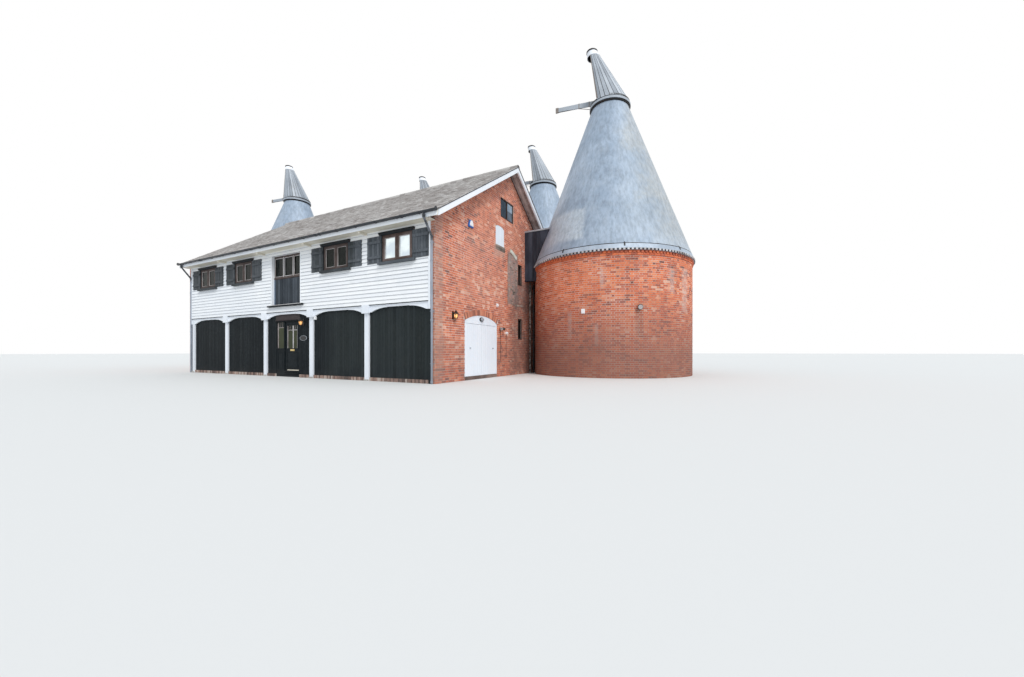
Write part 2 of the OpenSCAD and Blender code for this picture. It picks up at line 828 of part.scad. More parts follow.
module cowl(i) {
    post_top = cowl_z + cowl_h * 0.5;
    color("whitesmoke") translate(kiln_at[i]) rotate(cowl_turn) {
        difference() {
            cowl_cone(0, 0, 0);
            cowl_cone(cowl_t, eps, eps);
            slab_y(-2 * cowl_r, 2 * cowl_r) polygon([
                [-cowl_side_foot, cowl_z + cowl_ring_h], [cowl_open_x, cowl_z + cowl_open_h],
                [-3 * cowl_r, cowl_z + cowl_open_h], [-3 * cowl_r, cowl_z + cowl_ring_h]
            ]);
        }
        translate([0, 0, cowl_z]) rotate_extrude()
            translate([cowl_r - 90, 0]) square([80, cowl_ring_h]);
        box([-cowl_r + 50, -40, cowl_z], [cowl_r - 50, 40, cowl_z + cowl_ring_h]);
        box([-40, -cowl_r + 50, cowl_z], [40, cowl_r - 50, cowl_z + cowl_ring_h]);
        translate([0, 0, beam_low_z - socket_h + seat])
            cylinder(r = spindle_r, h = post_top - beam_low_z + socket_h);
        translate([-cowl_lean, 0, cowl_z + cowl_h]) cylinder(r = cowl_top_r + 20, h = 40);
        box([-finger_l, -22, cowl_z + finger_z], [0, 22, cowl_z + finger_z + 200]);
    }
}

// Links between the barn and the kilns
link_w = 2400;
link_t = 150;
link_roof_t = 60;
rear_link_drop = 420;
rear_link_top = edge_under - rear_link_drop;
side_link_drop = 140;
side_link_top = kiln_h - side_link_drop;
upper_link_y = slit_y + slit_w + upper_link_off;
upper_link_drop = 550;
upper_link_rise = 1700;
upper_link_z = kiln_h - upper_link_drop;
upper_link_top = kiln_h + upper_link_rise;
upper_link_l = 1400;
verge_stop = half_w - (upper_link_top + barge_hang + 20 - eaves_z) / rise;

// Space taken by a kiln's wall and roof, with a small clearance
module kiln_space(i) {
    translate(kiln_at[i]) {
        cylinder(r = kiln_r + seat, h = kiln_h, $fn = 360);
        translate([0, 0, kiln_h - seat]) cylinder(r = cone_foot + seat, h = 60 + seat, $fn = 360);
        translate([0, 0, kiln_h + 60])
            cylinder(r1 = cone_foot + seat, r2 = cone_top_r + seat, h = cone_top - kiln_h - 60, $fn = 360);
    }
}

module link_walls() {
    color("darkslategray") {
        for (y = [upper_link_y, half_w - link_t]) difference() {
            box([half_l, y, upper_link_z],
                [half_l + upper_link_l, y + link_t, upper_link_top - link_roof_t]);
            kiln_space(0);
        }
        for (k = [1, 2], side = [-1, 1]) difference() {
            translate([kiln_at[k][0] + side * (link_w - link_t) / 2, 0, 0])
                box([-link_t / 2, half_w, 0], [link_t / 2, kiln_at[k][1], rear_link_top]);
            kiln_space(k);
        }
        for (side = [-1, 1]) difference() {
            translate([0, kiln_at[3][1] + side * (link_w - link_t) / 2, 0])
                box([kiln_at[3][0], -link_t / 2, 0], [left_x, link_t / 2, side_link_top]);
            kiln_space(3);
        }
    }
}

module link_roofs() {
    color("slategray") {
        difference() {
            box([half_l, upper_link_y - 20, upper_link_top - link_roof_t],
                [half_l + upper_link_l, half_w, upper_link_top]);
            kiln_space(0);
        }
        for (k = [1, 2]) difference() {
            translate([kiln_at[k][0], 0, 0])
                box([-link_w / 2, half_w, rear_link_top],
                    [link_w / 2, kiln_at[k][1], rear_link_top + link_roof_t]);
            kiln_space(k);
        }
        difference() {
            translate([0, kiln_at[3][1], 0])
                box([kiln_at[3][0], -link_w / 2, side_link_top],
                    [left_x, link_w / 2, side_link_top + link_roof_t]);
            kiln_space(3);
        }
    }
}

barn_floor();
front_kerb();
rear_wall();
gable_wall_left();
gable_wall_right_piers();
gable_wall_right_upper();
gable_door_arch();
upper_floor();
front_posts();
front_beam();
front_braces();
front_boarding();
front_upper_wall();
entry_lintel();
entry_frame();
front_door();
roof_front();
roof_rear();
ridge_tiles();
bargeboards();
eaves_boards();
gutters();
downpipes();
window_frames();
window_glass();
window_shutters();
loading_bay();
gable_door_left();
gable_door_right();
gable_door_frame();
gable_hatch();
gable_window_frames();
kiln_wall(0);  // kiln_1_wall
kiln_wall(1);  // kiln_2_wall
kiln_wall(2);  // kiln_3_wall
kiln_wall(3);  // kiln_4_wall
kiln_roof(0);  // kiln_1_roof
kiln_roof(1);  // kiln_2_roof
kiln_roof(2);  // kiln_3_roof
kiln_roof(3);  // kiln_4_roof
cowl(0);  // cowl_1
cowl(1);  // cowl_2
cowl(2);  // cowl_3
cowl(3);  // cowl_4
link_walls();
link_roofs();
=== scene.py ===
"""Oast house, dressed for a plain studio view.

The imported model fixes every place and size. Over it this script lays the bricks, tiles,
boards, sheets and fittings, in metres and in the same frame: the timber front faces -Y,
the brick gable with the arched doors faces +X, and the round kilns stand behind.
"""

import logging
import math
from collections.abc import Callable, Iterable, Sequence
from dataclasses import dataclass, replace
from enum import Enum
from functools import cache

import bpy
import numpy as np
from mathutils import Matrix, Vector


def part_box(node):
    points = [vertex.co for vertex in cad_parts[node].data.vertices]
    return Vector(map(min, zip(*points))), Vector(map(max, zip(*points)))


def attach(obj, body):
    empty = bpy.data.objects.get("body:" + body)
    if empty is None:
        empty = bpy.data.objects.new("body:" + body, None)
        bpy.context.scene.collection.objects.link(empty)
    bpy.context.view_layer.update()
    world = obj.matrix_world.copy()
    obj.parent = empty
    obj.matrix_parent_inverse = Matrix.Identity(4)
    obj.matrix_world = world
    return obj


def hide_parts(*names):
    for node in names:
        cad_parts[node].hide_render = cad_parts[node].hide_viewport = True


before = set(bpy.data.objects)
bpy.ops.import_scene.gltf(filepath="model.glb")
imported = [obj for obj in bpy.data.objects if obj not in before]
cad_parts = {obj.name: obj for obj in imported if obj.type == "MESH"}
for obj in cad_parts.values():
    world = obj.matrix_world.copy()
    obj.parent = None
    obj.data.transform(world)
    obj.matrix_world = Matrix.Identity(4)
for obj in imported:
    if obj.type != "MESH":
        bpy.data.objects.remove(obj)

log = logging.getLogger("oast")

Array = np.ndarray
Random = np.random.Generator
Colour = tuple[float, float, float]
Point = tuple[float, float, float]
Span = tuple[float, float]
Socket = bpy.types.NodeSocket

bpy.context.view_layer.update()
BUILDING = "building"
UP: Point = (0.0, 0.0, 1.0)
ALONG: Point = (1.0, 0.0, 0.0)
ACROSS: Point = (0.0, 1.0, 0.0)


# Shader graphs


class Graph:
    """One shader node tree, written with short calls."""

    def __init__(self, tree: bpy.types.NodeTree) -> None:
        """Takes the tree that the nodes go into."""
        self.tree = tree

    def add(self, kind: str, inputs: dict | None = None, **settings: object) -> bpy.types.Node:
        """Adds a node.

        Args:
            kind: The node's type, without its "ShaderNode" prefix.
            inputs: Values or sockets for its inputs, by name or index.
            settings: The node's own properties.

        Returns:
            The new node.
        """
        node = self.tree.nodes.new("ShaderNode" + kind)
        for key, value in settings.items():
            setattr(node, key, value)
        for key, value in (inputs or {}).items():
            self.feed(node.inputs[key], value)
        return node

    def feed(self, socket: Socket, value: object) -> None:
        """Feeds one input.

        Args:
            socket: The input.
            value: Socket to link to it, or its constant.
        """
        if isinstance(value, bpy.types.NodeSocket):
            self.tree.links.new(value, socket)
        elif isinstance(value, tuple) and len(value) == 3 and socket.type == "RGBA":
            socket.default_value = (*value, 1.0)
        else:
            socket.default_value = value

    def math(self, operation: str, a: object, b: object = 0.0, clamp: bool = False) -> Socket:
        """Returns the value of a Math node over a and b."""
        return self.add("Math", {0: a, 1: b}, operation=operation, use_clamp=clamp).outputs[0]

    def vector(self, operation: str, a: object, b: object) -> Socket:
        """Returns the vector of a Vector Math node over a and b."""
        return self.add("VectorMath", {0: a, 1: b}, operation=operation).outputs[0]

    def mix(self, factor: object, a: object, b: object, blend: str = "MIX") -> Socket:
        """Returns the colour between a and b."""
        inputs = {0: factor, 6: a, 7: b}
        return self.add("Mix", inputs, data_type="RGBA", blend_type=blend).outputs[2]

    def ramp(self, factor: Socket, stops: Sequence[tuple[float, Colour]]) -> Socket:
        """Looks a factor up in a colour ramp.

        Args:
            factor: The place along the ramp.
            stops: Places and colours along it.

        Returns:
            The colour.
        """
        node = self.add("ValToRGB", {"Fac": factor})
        elements = node.color_ramp.elements
        while len(elements) < len(stops):
            elements.new(1.0)
        for element, (place, colour) in zip(elements, stops):
            element.position = place
            element.color = (*colour, 1.0)
        return node.outputs["Color"]

    def span(self, value: Socket, low: object, high: object, to_low: float = 0.0,
             to_high: float = 1.0) -> Socket:
        """Returns a value mapped smoothly from one range to another and clamped."""
        inputs = {0: value, 1: low, 2: high, 3: to_low, 4: to_high}
        return self.add("MapRange", inputs, interpolation_type="SMOOTHSTEP").outputs[0]

    def place(self) -> Socket:
        """Returns the point on the surface, in the frame at rest."""
        return self.add("TexCoord").outputs["Object"]

    def noise(self, vector: Socket, scale: object, detail: float = 3.0, rough: float = 0.55) -> Socket:
        """Returns the value of a noise at a point."""
        inputs = {"Vector": vector, "Scale": scale, "Detail": detail, "Roughness": rough}
        return self.add("TexNoise", inputs).outputs[0]

    def use(self, group: bpy.types.NodeTree, inputs: dict) -> bpy.types.bpy_prop_collection:
        """Places a shared effect in this tree.

        Args:
            group: The effect's node group.
            inputs: Values or sockets for its inputs, by name.

        Returns:
            Its outputs.
        """
        node = self.add("Group")
        node.node_tree = group
        for key, value in inputs.items():
            self.feed(node.inputs[key], value)
        return node.outputs


class Effect(Graph):
    """A shared shader effect: a node group with named inputs and outputs."""

    def __init__(self, name: str, inputs: dict[str, object], outputs: dict[str, str]) -> None:
        """Makes the group's tree and sockets.

        Args:
            name: The effect's name.
            inputs: Default value of each input, which also gives its type.
            outputs: Socket type of each output.
        """
        tree = bpy.data.node_groups.new(name, "ShaderNodeTree")
        for key, default in inputs.items():
            kind = "Float"
            if isinstance(default, tuple):
                kind = "Color" if len(default) == 4 else "Vector"
            made = tree.interface.new_socket(key, in_out="INPUT", socket_type="NodeSocket" + kind)
            made.default_value = default
        for key, kind in outputs.items():
            tree.interface.new_socket(key, in_out="OUTPUT", socket_type="NodeSocket" + kind)
        super().__init__(tree)
        self.given = tree.nodes.new("NodeGroupInput").outputs
        self.result = tree.nodes.new("NodeGroupOutput").inputs


@cache
def grain_effect() -> bpy.types.NodeTree:
    """Makes the fine relief and tint of a surface, stretched along any axis.

    Returns:
        The node group.
    """
    graph = Effect(
        "grain",
        {"Color": (0.5, 0.5, 0.5, 1.0), "Scale": (40.0, 40.0, 40.0), "Tint": 0.1},
        {"Color": "Color", "Height": "Float"},
    )
    at = graph.vector("MULTIPLY", graph.place(), graph.given["Scale"])
    fine = graph.noise(at, 1.0, 4.0, 0.65)
    tint = graph.math("MULTIPLY", graph.span(fine, 0.35, 0.72), graph.given["Tint"])
    dark = graph.mix(1.0, graph.given["Color"], (0.25, 0.24, 0.23), "MULTIPLY")
    graph.feed(graph.result["Color"], graph.mix(tint, graph.given["Color"], dark))
    graph.feed(graph.result["Height"], fine)
    return graph.tree


@cache
def patches_effect() -> bpy.types.NodeTree:
    """Makes large soft patches and upright streaks over a surface.

    Returns:
        The node group.
    """
    graph = Effect("patches", {"Size": 1.0, "Streak": 0.12}, {"Patch": "Float", "Streaks": "Float"})
    at = graph.place()
    scale = graph.math("DIVIDE", 1.0, graph.given["Size"])
    patch = graph.noise(at, scale, 4.0, 0.6)
    squash = graph.add("CombineXYZ", {0: 1.0, 1: 1.0, 2: graph.given["Streak"]}).outputs[0]
    long = graph.noise(graph.vector("MULTIPLY", at, squash), 5.0, 5.0, 0.62)
    graph.feed(graph.result["Patch"], graph.span(patch, 0.3, 0.7))
    graph.feed(graph.result["Streaks"], graph.span(long, 0.45, 0.75))
    return graph.tree


@cache
def grime_effect() -> bpy.types.NodeTree:
    """Makes a colour with dirt that gathers in patches and near the ground.

    Returns:
        The node group.
    """
    graph = Effect(
        "grime",
        {"Color": (0.5, 0.5, 0.5, 1.0), "Dirt": (0.08, 0.07, 0.06, 1.0), "Amount": 0.3,
         "Foot": 0.5, "Foot Amount": 0.5},
        {"Color": "Color", "Mask": "Float"},
    )
    given = graph.given
    at = graph.place()
    speck = graph.noise(graph.vector("MULTIPLY", at, (1.0, 1.0, 0.45)), 2.3, 7.0, 0.7)
    mask = graph.math("MULTIPLY", graph.span(speck, 0.47, 0.8), given["Amount"])
    height = graph.add("SeparateXYZ", {0: at}).outputs[2]
    rag = graph.math("MULTIPLY", graph.noise(at, 1.6, 5.0, 0.65), 0.9)
    level = graph.math("DIVIDE", graph.math("ADD", height, rag), given["Foot"])
    foot = graph.math("SUBTRACT", 1.6, level, clamp=True)
    foot = graph.math("MULTIPLY", foot, given["Foot Amount"])
    total = graph.math("MAXIMUM", mask, foot, clamp=True)
    graph.feed(graph.result["Color"], graph.mix(total, given["Color"], given["Dirt"]))
    graph.feed(graph.result["Mask"], total)
    return graph.tree


@cache
def zone_effect() -> bpy.types.NodeTree:
    """Makes the mask of a ragged patch between two corners.

    Returns:
        The node group.
    """
    sockets = {"Low": (0.0, 0.0, 0.0), "High": (1.0, 1.0, 1.0), "Soft": 0.2}
    graph = Effect("zone", sockets, {"Mask": "Float"})
    given = graph.given
    at = graph.place()
    rag = graph.math("SUBTRACT", graph.noise(at, 2.2, 6.0, 0.65), 0.5)
    rag = graph.math("MULTIPLY", rag, graph.math("MULTIPLY", given["Soft"], 3.0))
    over = graph.vector("SUBTRACT", at, given["Low"])
    short = graph.vector("SUBTRACT", given["High"], at)
    x, y, z = graph.add("SeparateXYZ", {0: graph.vector("MINIMUM", over, short)}).outputs
    inside = graph.math("ADD", graph.math("MINIMUM", graph.math("MINIMUM", x, y), z), rag)
    edge = graph.math("MULTIPLY", given["Soft"], -1.0)
    mask = graph.span(inside, edge, given["Soft"])
    speck = graph.span(graph.noise(at, 9.0, 5.0, 0.7), 0.3, 0.62, 0.45, 1.0)
    graph.feed(graph.result["Mask"], graph.math("MULTIPLY", mask, speck))
    return graph.tree


class Coat(Graph):
    """The graph of a new material, which ends in its Principled shader."""

    def __init__(self, name: str) -> None:
        """Makes the material.

        Args:
            name: Its name.
        """
        self.made = bpy.data.materials.new(name)
        self.made.use_nodes = True
        super().__init__(self.made.node_tree)
        self.inputs = self.tree.nodes["Principled BSDF"].inputs

    def set(self, inputs: dict[str, object]) -> None:
        """Feeds inputs of the shader by name."""
        for key, value in inputs.items():
            self.feed(self.inputs[key], value)

    def bump(self, height: Socket, distance: float, strength: float) -> None:
        """Raises a height of so many metres on the surface."""
        inputs = {"Height": height, "Distance": distance, "Strength": strength}
        self.feed(self.inputs["Normal"], self.add("Bump", inputs).outputs[0])


class Surface:
    """What all finishes share: a material that is made once."""

    def material(self, laid: bool = True) -> bpy.types.Material:
        """Finds the material, or makes it.

        Args:
            laid: Whether each piece has a tone of its own.

        Returns:
            The material.
        """
        name = self.title(laid)
        if name not in bpy.data.materials:
            self.paint(Coat(name), laid)
        return bpy.data.materials[name]

    def title(self, laid: bool) -> str:
        """Returns the material's name, which is one for laid and plain pieces."""
        return self.name

    def paint(self, coat: Coat, laid: bool) -> None:
        """Builds the material's nodes; each finish has its own."""
        raise NotImplementedError


@dataclass(frozen=True)
class Zone:
    """A soft-edged part of a surface in another colour, between two corners of the frame."""

    low: Point
    high: Point
    colour: Colour
    strength: float = 0.6
    soft: float = 0.25


@dataclass(frozen=True)
class Finish(Surface):
    """A weathered surface finish, in linear colours and metres.

    tones is the ramp that each laid piece picks its own colour from. grain is the number of
    waves in a metre, one for all axes or one for each.
    """

    name: str
    tones: tuple[tuple[float, Colour], ...]
    rough: float = 0.7
    patch: float = 0.25
    patch_size: float = 1.4
    streak: float = 0.0
    streak_colour: Colour = (0.75, 0.74, 0.7)
    grain: float | Point = 45.0
    grain_tint: float = 0.25
    relief: float = 0.004
    dirt: Colour = (0.09, 0.075, 0.06)
    dirt_amount: float = 0.25
    foot: float = 0.6
    foot_amount: float = 0.0
    metallic: float = 0.0
    shine: float = 0.5
    zones: tuple[Zone, ...] = ()

    def title(self, laid: bool) -> str:
        """Returns the material's name."""
        return "dress_" + self.name + ("" if laid else "_plain")

    def colour(self, coat: Coat, laid: bool) -> Socket:
        """Lays the tones, the streaks and the zones over each other.

        Args:
            coat: The new material.
            laid: Whether each piece has a tone of its own.

        Returns:
            The colour before grain and dirt.
        """
        cover = coat.use(patches_effect(), {"Size": self.patch_size})
        shift = coat.math("SUBTRACT", cover["Patch"], 0.5)
        own = coat.add("Attribute", attribute_name="tone").outputs["Fac"] if laid else 0.5
        tone = coat.math("ADD", own, coat.math("MULTIPLY", shift, self.patch), clamp=True)
        colour = coat.ramp(tone, self.tones)
        if self.streak:
            share = coat.math("MULTIPLY", cover["Streaks"], self.streak)
            colour = coat.mix(share, colour, self.streak_colour)
        for zone in self.zones:
            mask = coat.use(zone_effect(), {"Low": zone.low, "High": zone.high, "Soft": zone.soft})["Mask"]
            colour = coat.mix(coat.math("MULTIPLY", mask, zone.strength), colour, zone.colour)
        return colour

    def paint(self, coat: Coat, laid: bool) -> None:
        """Builds the material's nodes.

        Args:
            coat: The new material.
            laid: Whether each piece has a tone of its own.
        """
        colour = self.colour(coat, laid)
        scale = self.grain if isinstance(self.grain, tuple) else (self.grain,) * 3
        grained = coat.use(grain_effect(), {"Color": colour, "Scale": scale, "Tint": self.grain_tint})
        dirty = coat.use(
            grime_effect(),
            {"Color": grained["Color"], "Dirt": self.dirt, "Amount": self.dirt_amount,
             "Foot": self.foot, "Foot Amount": self.foot_amount},
        )
        coat.set({"Base Color": dirty["Color"]})
        dull = coat.math("MULTIPLY", dirty["Mask"], 0.25)
        shine = coat.math("MULTIPLY", grained["Height"], 0.16)
        rough = coat.math("ADD", coat.math("ADD", shine, dull), self.rough - 0.08, clamp=True)
        coat.set({"Roughness": rough, "Metallic": self.metallic, "Specular IOR Level": self.shine})
        coat.bump(grained["Height"], self.relief, 0.7)


@dataclass(frozen=True)
class Glass(Surface):
    """Window glass with its own faint ripple; mirror is the share of sky that it throws back."""

    name: str = "window_pane"
    tint: Colour = (0.05, 0.07, 0.055)
    ripple: float = 0.0004
    ior: float = 1.22
    mirror: float = 0.0

    def paint(self, coat: Coat, laid: bool) -> None:
        """Builds the nodes of a pane.

        Args:
            coat: The new material.
            laid: Has no effect: a pane has one tone.
        """
        wave = coat.noise(coat.place(), 3.0, 2.0, 0.4)
        light = tuple(min(1.0, 1.3 * c) for c in self.tint)
        coat.set({"Base Color": coat.ramp(wave, ((0.35, self.tint), (0.65, light))), "Roughness": 0.02,
                  "IOR": self.ior, "Metallic": self.mirror,
                  "Transmission Weight": 0.92 * (1.0 - self.mirror)})
        coat.bump(wave, self.ripple, 1.0)


@dataclass(frozen=True)
class Glow(Surface):
    """Warm lamp glass, lit from inside."""

    name: str = "lamp_glass"
    colour: Colour = (1.0, 0.38, 0.08)
    bright: Colour = (1.0, 0.66, 0.30)
    strength: float = 1.3

    def paint(self, coat: Coat, laid: bool) -> None:
        """Builds the nodes of lit lamp glass.

        Args:
            coat: The new material.
            laid: Has no effect: the glass has one tone.
        """
        warm = coat.ramp(coat.noise(coat.place(), 30.0, 2.0), ((0.2, self.colour), (0.8, self.bright)))
        coat.set({"Base Color": warm, "Emission Color": warm, "Emission Strength": self.strength,
                  "Roughness": 0.3})


# Finishes


def shades(dark: Colour, middle: Colour, light: Colour) -> tuple[tuple[float, Colour], ...]:
    """Returns an even ramp of three tones."""
    return (0.0, dark), (0.5, middle), (1.0, light)


def gable_zone(y: Span, z: Span, colour: Colour, strength: float, soft: float) -> Zone:
    """Returns a zone on the right gable, across the barn and up it."""
    return Zone((7.1, y[0], z[0]), (7.4, y[1], z[1]), colour, strength, soft)


def pale_run(x: float, y: float, low: float, high: float) -> Zone:
    """Returns a narrow pale run of lime down the first kiln."""
    return Zone((x - 0.07, y - 0.5, low), (x + 0.07, y + 0.5, high), (0.62, 0.50, 0.46), 0.5, 0.05)


GABLE_PATCHES = (
    gable_zone((-4.9, -4.42), (0.0, 5.6), (0.40, 0.31, 0.27), 0.50, 0.10),
    gable_zone((-0.13, 0.80), (2.95, 5.15), (0.30, 0.295, 0.285), 0.88, 0.07),
    gable_zone((0.5, 2.3), (2.85, 4.1), (0.21, 0.175, 0.165), 0.85, 0.16),
    # Darker brick low down where the gable faces the first kiln across the narrow gap.
    gable_zone((0.1, 3.4), (0.0, 3.1), (0.19, 0.118, 0.10), 0.90, 0.35),
    gable_zone((-1.2, -0.35), (4.75, 5.2), (0.50, 0.40, 0.34), 0.55, 0.12),
    gable_zone((-4.9, 3.4), (0.0, 1.3), (0.30, 0.14, 0.105), 0.55, 0.5),
    gable_zone((-3.4, -0.6), (2.9, 5.2), (0.78, 0.50, 0.41), 0.22, 0.5),
    gable_zone((1.2, 3.2), (4.2, 6.6), (0.36, 0.23, 0.20), 0.4, 0.4),
    gable_zone((-2.6, 1.0), (5.3, 9.5), (0.84, 0.40, 0.28), 0.30, 0.4),
)
KILN_STAINS = (
    Zone((8.6, -0.3, 2.7), (10.7, 2.4, 4.9), (0.84, 0.215, 0.075), 0.42, 0.50),
    Zone((12.24, 0.2, 1.5), (12.5, 0.9, 2.56), (0.20, 0.085, 0.06), 0.6, 0.05),
    Zone((6.5, -1.0, 0.0), (15.0, 3.4, 2.9), (0.50, 0.12, 0.075), 0.34, 0.9),
    pale_run(9.85, 0.12, 1.5, 2.5), pale_run(11.1, 0.06, 3.3, 4.1), pale_run(10.9, 0.04, 1.2, 2.0),
    pale_run(13.4, 1.46, 3.2, 4.1), pale_run(13.8, 2.1, 2.5, 4.2),
)
CONE_STAINS_AND_SHADE = (
    Zone((6.9, 1.5, 4.7), (9.3, 8.6, 8.6), (0.62, 0.69, 0.77), 0.70, 0.35),
    Zone((8.6, -0.3, 5.35), (10.3, 2.2, 6.7), (0.57, 0.64, 0.70), 0.80, 0.13),
    # Painted shade: darkens the sunlit right side of the first cone.
    Zone((11.9, -0.3, 5.4), (14.3, 6.0, 12.0), (0.31, 0.365, 0.42), 0.60, 0.80),
    Zone((13.0, 0.2, 4.8), (14.3, 5.6, 7.4), (0.52, 0.52, 0.49), 0.50, 0.45),
    Zone((12.3, 1.0, 7.0), (13.3, 5.6, 9.8), (0.52, 0.52, 0.49), 0.50, 0.35),
    Zone((11.45, 2.0, 9.3), (12.3, 5.2, 12.2), (0.54, 0.54, 0.51), 0.50, 0.22),
    Zone((6.9, 0.8, 4.6), (16.0, 9.0, 5.35), (0.50, 0.575, 0.66), 0.4, 0.3),
)
BRICK = Finish(
    "brick", (
        (0.0, (0.21, 0.088, 0.072)), (0.10, (0.38, 0.12, 0.080)), (0.34, (0.56, 0.158, 0.087)),
        (0.62, (0.68, 0.208, 0.109)), (0.86, (0.76, 0.29, 0.17)), (1.0, (0.81, 0.50, 0.38)),
    ),
    rough=0.9, patch=0.30, patch_size=1.6, streak=0.12, streak_colour=(0.70, 0.50, 0.42), grain=70.0,
    grain_tint=0.16, relief=0.006, dirt=(0.30, 0.19, 0.155), dirt_amount=0.36, zones=GABLE_PATCHES,
)
KILN_BRICK = replace(
    BRICK, name="kiln_brick", tones=(
        (0.0, (0.20, 0.076, 0.058)), (0.10, (0.36, 0.10, 0.062)), (0.36, (0.60, 0.140, 0.062)),
        (0.65, (0.74, 0.195, 0.080)), (0.87, (0.78, 0.27, 0.13)), (1.0, (0.78, 0.44, 0.32)),
    ),
    patch=0.38, patch_size=1.9, streak=0.16, streak_colour=(0.60, 0.38, 0.32), dirt=(0.22, 0.11, 0.085),
    dirt_amount=0.42, foot=2.3, foot_amount=0.72, zones=KILN_STAINS,
)
ARCH_BRICK = Finish(
    "arch_brick", shades((0.30, 0.12, 0.085), (0.62, 0.23, 0.14), (0.76, 0.35, 0.22)), rough=0.88,
    patch=0.3, grain=80.0, grain_tint=0.2, relief=0.005, dirt=(0.26, 0.16, 0.13), dirt_amount=0.3,
)
KERB_BRICK = Finish(
    "kerb_brick", (
        (0.0, (0.12, 0.085, 0.075)), (0.4, (0.26, 0.175, 0.145)), (0.75, (0.40, 0.27, 0.22)),
        (1.0, (0.50, 0.42, 0.37)),
    ),
    rough=0.95, patch=0.6, patch_size=0.7, grain=60.0, grain_tint=0.35, relief=0.006,
    dirt=(0.12, 0.105, 0.09), dirt_amount=0.6,
)
MORTAR = Finish(
    "lime_mortar", shades((0.60, 0.51, 0.45), (0.82, 0.74, 0.67), (0.92, 0.88, 0.83)), rough=0.95,
    patch=0.9, streak=0.1, grain=110.0, relief=0.005, dirt=(0.24, 0.17, 0.14), dirt_amount=0.4,
    foot=1.2, foot_amount=0.45, zones=GABLE_PATCHES,
)
KILN_MORTAR = replace(
    MORTAR, name="kiln_mortar", tones=shades((0.50, 0.40, 0.34), (0.73, 0.63, 0.56), (0.88, 0.80, 0.73)),
    dirt=(0.17, 0.10, 0.08), dirt_amount=0.45, foot=2.3, foot_amount=0.7, zones=(),
)
CEMENT = Finish(
    "cement_patch", shades((0.11, 0.10, 0.085), (0.30, 0.265, 0.23), (0.52, 0.47, 0.42)), rough=0.95,
    patch=1.2, patch_size=0.5, grain=40.0, grain_tint=0.4, relief=0.008, dirt=(0.21, 0.17, 0.15),
    dirt_amount=0.6, streak=0.45, streak_colour=(0.50, 0.31, 0.24),
)
STONE = Finish(
    "grey_stone", shades((0.28, 0.26, 0.24), (0.42, 0.40, 0.37), (0.56, 0.54, 0.50)), rough=0.9,
    patch=0.9, grain=60.0, grain_tint=0.3, relief=0.006, dirt=(0.17, 0.16, 0.13), dirt_amount=0.45,
    streak=0.2, streak_colour=(0.24, 0.22, 0.20),
)
TILE = Finish(
    "clay_tile", (
        (0.0, (0.22, 0.195, 0.185)), (0.16, (0.34, 0.305, 0.29)), (0.45, (0.50, 0.465, 0.445)),
        (0.75, (0.62, 0.595, 0.58)), (1.0, (0.76, 0.74, 0.72)),
    ),
    rough=0.85, patch=0.26, patch_size=1.1, grain=60.0, grain_tint=0.2, dirt=(0.50, 0.50, 0.49),
    dirt_amount=0.4,
)
RIDGE = Finish(
    "ridge_tile", shades((0.26, 0.24, 0.23), (0.40, 0.375, 0.36), (0.52, 0.50, 0.48)), rough=0.85,
    grain=55.0, dirt=(0.46, 0.46, 0.43), dirt_amount=0.45,
)
WEATHERBOARD = Finish(
    "weatherboard", (
        # The two darkest stops serve only the boards' undersides: painted shade under each lap.
        (0.0, (0.24, 0.265, 0.32)), (0.10, (0.27, 0.30, 0.355)), (0.20, (0.82, 0.845, 0.88)),
        (0.6, (0.89, 0.905, 0.925)), (1.0, (0.93, 0.94, 0.95)),
    ),
    rough=0.5, patch=0.18, patch_size=1.2, streak=0.08, streak_colour=(0.66, 0.68, 0.69),
    grain=(6.0, 90.0, 120.0), grain_tint=0.07, relief=0.0015, dirt=(0.52, 0.52, 0.50), dirt_amount=0.14,
    # Zone: painted bluish shade over the left end of the front.
    zones=(Zone((-9.0, -6.0, 0.0), (-2.0, -3.0, 6.0), (0.64, 0.70, 0.78), 0.35, 1.6),),
)
WHITE_PAINT = Finish(
    "white_paint", shades((0.79, 0.83, 0.885), (0.85, 0.88, 0.93), (0.90, 0.925, 0.955)), rough=0.42,
    patch=0.5, grain=(70.0, 70.0, 9.0), grain_tint=0.05, relief=0.0012, dirt=(0.50, 0.49, 0.46),
    dirt_amount=0.12, foot=0.3, foot_amount=0.3,
    # First zone: painted bluish shade over the left end of the front.
    zones=(Zone((-9.0, -6.0, 0.0), (-2.5, -3.0, 5.0), (0.62, 0.68, 0.76), 0.40, 1.2),
           # Painted bluish shade over the posts, braces and beam low on the front.
           Zone((-2.5, -6.0, -0.5), (7.05, -4.7, 2.5), (0.64, 0.70, 0.80), 0.34, 0.2),
           # Painted pale bluish sky light on the white doors, hatch and trims of the gable.
           Zone((7.1, -6.0, -0.5), (7.3, 6.0, 9.0), (0.80, 0.90, 1.0), 0.60, 0.02)),
)
CREAM_PAINT = Finish(
    "cream_paint", shades((0.62, 0.58, 0.48), (0.71, 0.67, 0.57), (0.78, 0.75, 0.67)), rough=0.5,
    grain=(8.0, 70.0, 70.0), grain_tint=0.08, relief=0.0012, dirt=(0.40, 0.37, 0.31), dirt_amount=0.22,
)
BLUE_GREY_STILE = Finish(
    "blue_grey_stile", shades((0.085, 0.13, 0.20), (0.12, 0.17, 0.25), (0.20, 0.26, 0.34)), rough=0.6,
    grain=(90.0, 90.0, 10.0), grain_tint=0.2, relief=0.001, dirt_amount=0.2,
)
